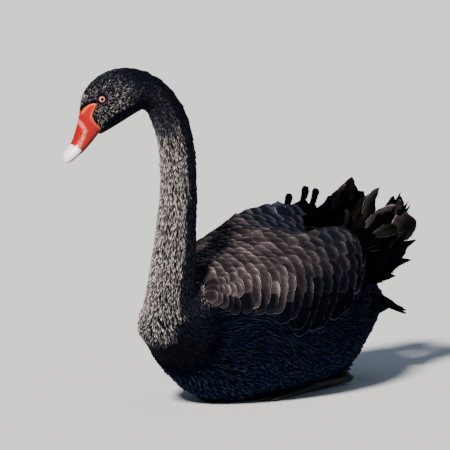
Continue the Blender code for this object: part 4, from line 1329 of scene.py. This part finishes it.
def makeTail():
    plumes = Plumes()
    x, y, z = tailPlan["root"]

    def lay(root, tip, spread, row, **form):
        plumes.lay(root=root, tip=tip, shade=rng.uniform(0, 1), spot=(0.1 + 0.8 * (spread + 1) / 2, row),
                   **form)

    for i in range(tailPlan["count"]):
        spread = 2 * i / (tailPlan["count"] - 1) - 1
        root = Vector((x + spread * 12, y, z - 3 * abs(spread))) * mm
        tip = Vector((x + spread * 50, tailPlan["tip"][1] - 36 * spread ** 2,
                      tailPlan["tip"][2] + 2.4 * (i % 2) - 2 * abs(spread))) * mm
        lay(root, tip, spread, 0.3, face=(spread * 0.3, 0, 1), bend=4, width=20, widest=0.6, cup=0.25,
            tone=0.2)
    for rank in range(3):
        for i in range(tailPlan["coverts"]):
            spread = 2 * (i + 0.5 * (rank % 2)) / tailPlan["coverts"] - 0.9
            root = Vector((x + spread * 24, y - 4 - 14 * rank, z + 12 + 4 * rank - 11 * spread ** 2)) * mm
            tip = root + Vector((spread * 16, 56 - 8 * spread ** 2, -22 - 4 * rank)) * mm
            lay(root, tip, spread, 0.5 + 0.12 * rank, face=(spread * 0.6, 0.1, 1), bend=5, width=19,
                tone=0.12, **tailCovert)
    for i in range(tailPlan["coverts"]):
        spread = 2 * i / (tailPlan["coverts"] - 1) - 1
        root = Vector((x + spread * 22, y - 30, z - 42 + 12 * spread ** 2)) * mm
        tip = Vector((x + spread * 32, y + 46 - 12 * spread ** 2, z - 18 + 2 * (i % 2))) * mm
        lay(root, tip, spread, 0.92, face=(spread * 0.6, 0, -1), bend=7, width=22, tone=0.1, **tailCovert)
    tail = plumes.build("tailFeathers", fanFinish)
    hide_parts("tail")


makeTail()


# Bill: the solids, made fine and smooth, with a pale border at the feathers and a white tip, a painted
# highlight on the ridge and painted shade below
mouthLine = [(112.7, 381.6), (118.5, 375.4), (127, 366), (136, 356), (144, 348.4), (151, 342.2), (157, 338)]
billRidge = [(143.5, 391.5), (136.5, 378.5), (139.5, 367.5), (145.5, 355.5), (151.5, 347.5)]
# lowRed is the painted shade of the lower bill, dark the painted shade of the mouth line
billLooks = {"red": (0.35, 0.0004, 0.0001), "deepRed": (0.24, 0.002, 0.001), "lowRed": (0.10, 0.002, 0.001),
             "border": (0.80, 0.10, 0.020), "dark": (0.030, 0.002, 0.002), "ridgeHighlight": (0.95, 0.33, 0.27),
             "white": (0.93, 0.90, 0.87), "nailAt": (146.5, 354.8), "nailWay": (0.59, -0.80)}


def billFinish():
    paint = Paint("billHorn")
    cloud = paint.noise(60, 4)
    fine = paint.noise(420, 4)
    base = paint.mix(cloud.step(0.35, 0.75) * 0.45, billLooks["red"], billLooks["deepRed"])
    # The lower bill is darker: painted shade under the upper bill
    base = paint.mix(paint.attribute("lowness"), base, billLooks["lowRed"])
    # A painted highlight along the ridge of the upper bill
    ridgeHighlight = paint.attribute("ridgeHighlight") * (0.3 + 0.7 * fine.step(0.35, 0.65)) * 0.7
    base = paint.mix(ridgeHighlight, base, billLooks["ridgeHighlight"])
    # The pale border and the white nail are the bill's own; the dark mouth line is painted shade in the gap
    # between the mandibles
    for field, colour in (("border", "border"), ("nail", "white"), ("mouth", "dark")):
        base = paint.mix(paint.attribute(field), base, billLooks[colour])
    return paint.set({"Base Color": base, "Roughness": 0.20 + 0.18 * fine, "Specular IOR Level": 0.3,
                      "Coat Weight": 0.12, "Coat Roughness": 0.12,
                      "Normal": paint.bump(0.35, 0.0006, fine * 0.4 + cloud * 0.8)})


hornFinish = billFinish()


def makeBill(name, node, lowShare):
    thing = remeshed(name, [nodes[node]], 0.62 * mm, 3)
    largest(thing)
    mesh = thing.data
    points = positions(mesh)
    forward, height, aside = inHead(points)
    nail = (forward - billLooks["nailAt"][0]) * billLooks["nailWay"][0]
    nail += (height - billLooks["nailAt"][1]) * billLooks["nailWay"][1]
    # mouth: painted shade along the gap between the mandibles; lowness: share of painted shade on the lower
    # bill
    fields = {"mouth": np.exp(-(lineDistance(forward, height, mouthLine) / 0.7) ** 2) * 0.9,
              "lowness": np.full(len(points), lowShare)}
    if node == "bill_upper":
        # A low welt along the edge of the feathers
        edge = lineDistance(forward, height, featherEdge)
        onSide = rise(np.abs(aside), 2.0, 5.0)
        welt = np.exp(-((edge - 1.1) / 0.7) ** 2) * onSide
        setPositions(mesh, points + normals(mesh) * (welt * 0.35 * mm)[:, None])
        fields["border"] = np.exp(-(edge / 1.9) ** 2) * onSide
        fields["nail"] = rise(nail, -0.5, 0.5)
        # Painted highlight along the ridge
        fields["ridgeHighlight"] = np.exp(-(lineDistance(forward, height, billRidge) / 2.0) ** 2)
    else:
        fields["nail"] = rise(nail, 4.0, 6.0) * 0.6
    for field, values in fields.items():
        store(mesh, field, values)
    mesh.shade_smooth()
    painted(mesh, hornFinish)
    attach(thing, "root")
    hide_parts(node)
    print(name, len(mesh.polygons))


makeBill("billUpper", "bill_upper", 0.0)
makeBill("billLower", "bill_lower", 0.85)


# Eyes: black pupil, pale ring and red rim, in a red lid
def eyeFinish():
    paint = Paint("eyeBall")
    ring = paint.attribute("fromAxis")
    pale, pupil, lid = eyeLooks["pale"], eyeLooks["pupil"], eyeLooks["lidFrom"]
    base = paint.mix(ring.step(pale - 0.35, pale + 0.25), (0.95, 0.62, 0.52), (0.60, 0.05, 0.04))
    base = paint.mix(paint.noise(700).step(0.4, 0.7) * 0.15, base, (0.45, 0.08, 0.06))
    base = paint.mix(ring.step(pupil + 0.1, pupil - 0.1), base, (0.001, 0.001, 0.001))
    base = paint.mix(ring.step(lid + 0.3, lid + 0.7), base, (0.006, 0.005, 0.006))
    return paint.set({"Base Color": base, "Roughness": 0.5, "Specular IOR Level": 0.1, "Coat Weight": 0.12,
                      "Coat Roughness": 0.03})


def lidFinish():
    paint = Paint("lidSkin")
    grain = paint.noise(900)
    return paint.set({"Base Color": paint.mix(grain, (0.70, 0.050, 0.035), (0.46, 0.02, 0.02)),
                      "Roughness": 0.4, "Normal": paint.bump(0.4, 0.0003, grain)})


ballFinish = eyeFinish()
rimFinish = lidFinish()


def makeEye(side, word):
    centre = eyeCentre[side]
    out = eyeOut(side)
    turn = out.to_track_quat("Z", "Y").to_matrix()

    def makeBall(work):
        bmesh.ops.create_uvsphere(work, u_segments=48, v_segments=32, radius=eyeLooks["ball"] * mm)
        # The clear front bulges a little over the iris
        for vert in work.verts:
            radius = math.hypot(vert.co.x, vert.co.y) / mm
            if vert.co.z > 0:
                vert.co.z += 0.35 * mm * max(0.0, 1 - (radius / 3.2) ** 2)
        bmesh.ops.rotate(work, cent=(0, 0, 0), matrix=turn, verts=work.verts)
        bmesh.ops.translate(work, vec=centre, verts=work.verts)

    mesh = bpy.data.meshes.new("eye" + word)
    reworked(mesh, makeBall)
    mesh.shade_smooth()
    points = positions(mesh) - np.array(centre)
    depth = points @ np.array(out)
    fromAxis = np.linalg.norm(points - depth[:, None] * np.array(out), axis=1) / mm
    store(mesh, "fromAxis", fromAxis + (depth < 0) * 9)
    ball = put("eye" + word, mesh, ballFinish)
    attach(ball, "root")
    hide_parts("eye_left" if side > 0 else "eye_right")
    # Lid: a soft ring round the opening
    around, sides = 48, 10
    rim = math.sqrt(eyeLooks["ball"] ** 2 - eyeLooks["opening"] ** 2) + 0.2
    verts, faces = [], []
    for i in range(around):
        a = 2 * math.pi * i / around
        j = (i + 1) % around
        for k in range(sides):
            b = 2 * math.pi * k / sides
            m = (k + 1) % sides
            radius = eyeLooks["lidFrom"] + eyeLooks["lidThick"] * (1 + math.cos(b))
            spot = Vector((math.cos(a) * radius, math.sin(a) * radius * 0.94,
                           rim + eyeLooks["lidThick"] * math.sin(b)))
            verts.append(centre + turn @ (spot * mm))
            faces.append((i * sides + k, j * sides + k, j * sides + m, i * sides + m))
    lid = put("lid" + word, shaped("lid" + word, verts, faces, True), rimFinish)
    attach(lid, "root")


makeEye(1, "Left")
makeEye(-1, "Right")


# Feet, folded under the belly
def footFinish():
    paint = Paint("footSkin")
    plates = add(paint.tree, "ShaderNodeTexVoronoi", {"feature": "DISTANCE_TO_EDGE"},
                 {"Vector": paint.place, "Scale": 420}, "Distance").step(0.0, 0.12)
    base = paint.mix(plates, (0.010, 0.009, 0.009), (0.040, 0.036, 0.035))
    base = paint.mix(paint.noise(120).step(0.4, 0.7) * 0.5, base, (0.022, 0.020, 0.020))
    return paint.set({"Base Color": base, "Roughness": 0.55 - 0.2 * plates, "Specular IOR Level": 0.2,
                      "Normal": paint.bump(0.6, 0.0005, plates)})


scaleFinish = footFinish()
for node, name in (("foot_left", "footLeft"), ("foot_right", "footRight")):
    foot = remeshed(name, [nodes[node]], 0.9 * mm, 2)
    largest(foot)
    painted(foot.data, scaleFinish)
    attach(foot, "root")
    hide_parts(node)
    print(name, len(foot.data.polygons))

# The skin goes under it all
painted(skin.data, skinFinish())
trim(skin.data)
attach(skin, "root")
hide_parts("torso", "neck_lower", "neck_middle", "neck_upper", "head")

for group in (hairs, waves, broads):
    for form in list(group.objects):
        bpy.data.objects.remove(form, do_unlink=True)
    bpy.data.collections.remove(group)


# Floor
def makeFloor():
    paint = Paint("floorPaint")
    mesh = bpy.data.meshes.new("floor")
    reworked(mesh, lambda work: bmesh.ops.create_grid(work, x_segments=2, y_segments=2, size=12))
    made = paint.set({"Base Color": paint.mix(paint.noise(3), (0.66, 0.68, 0.70), (0.70, 0.72, 0.74)),
                      "Roughness": 0.8})
    put("floor", mesh, made)


makeFloor()
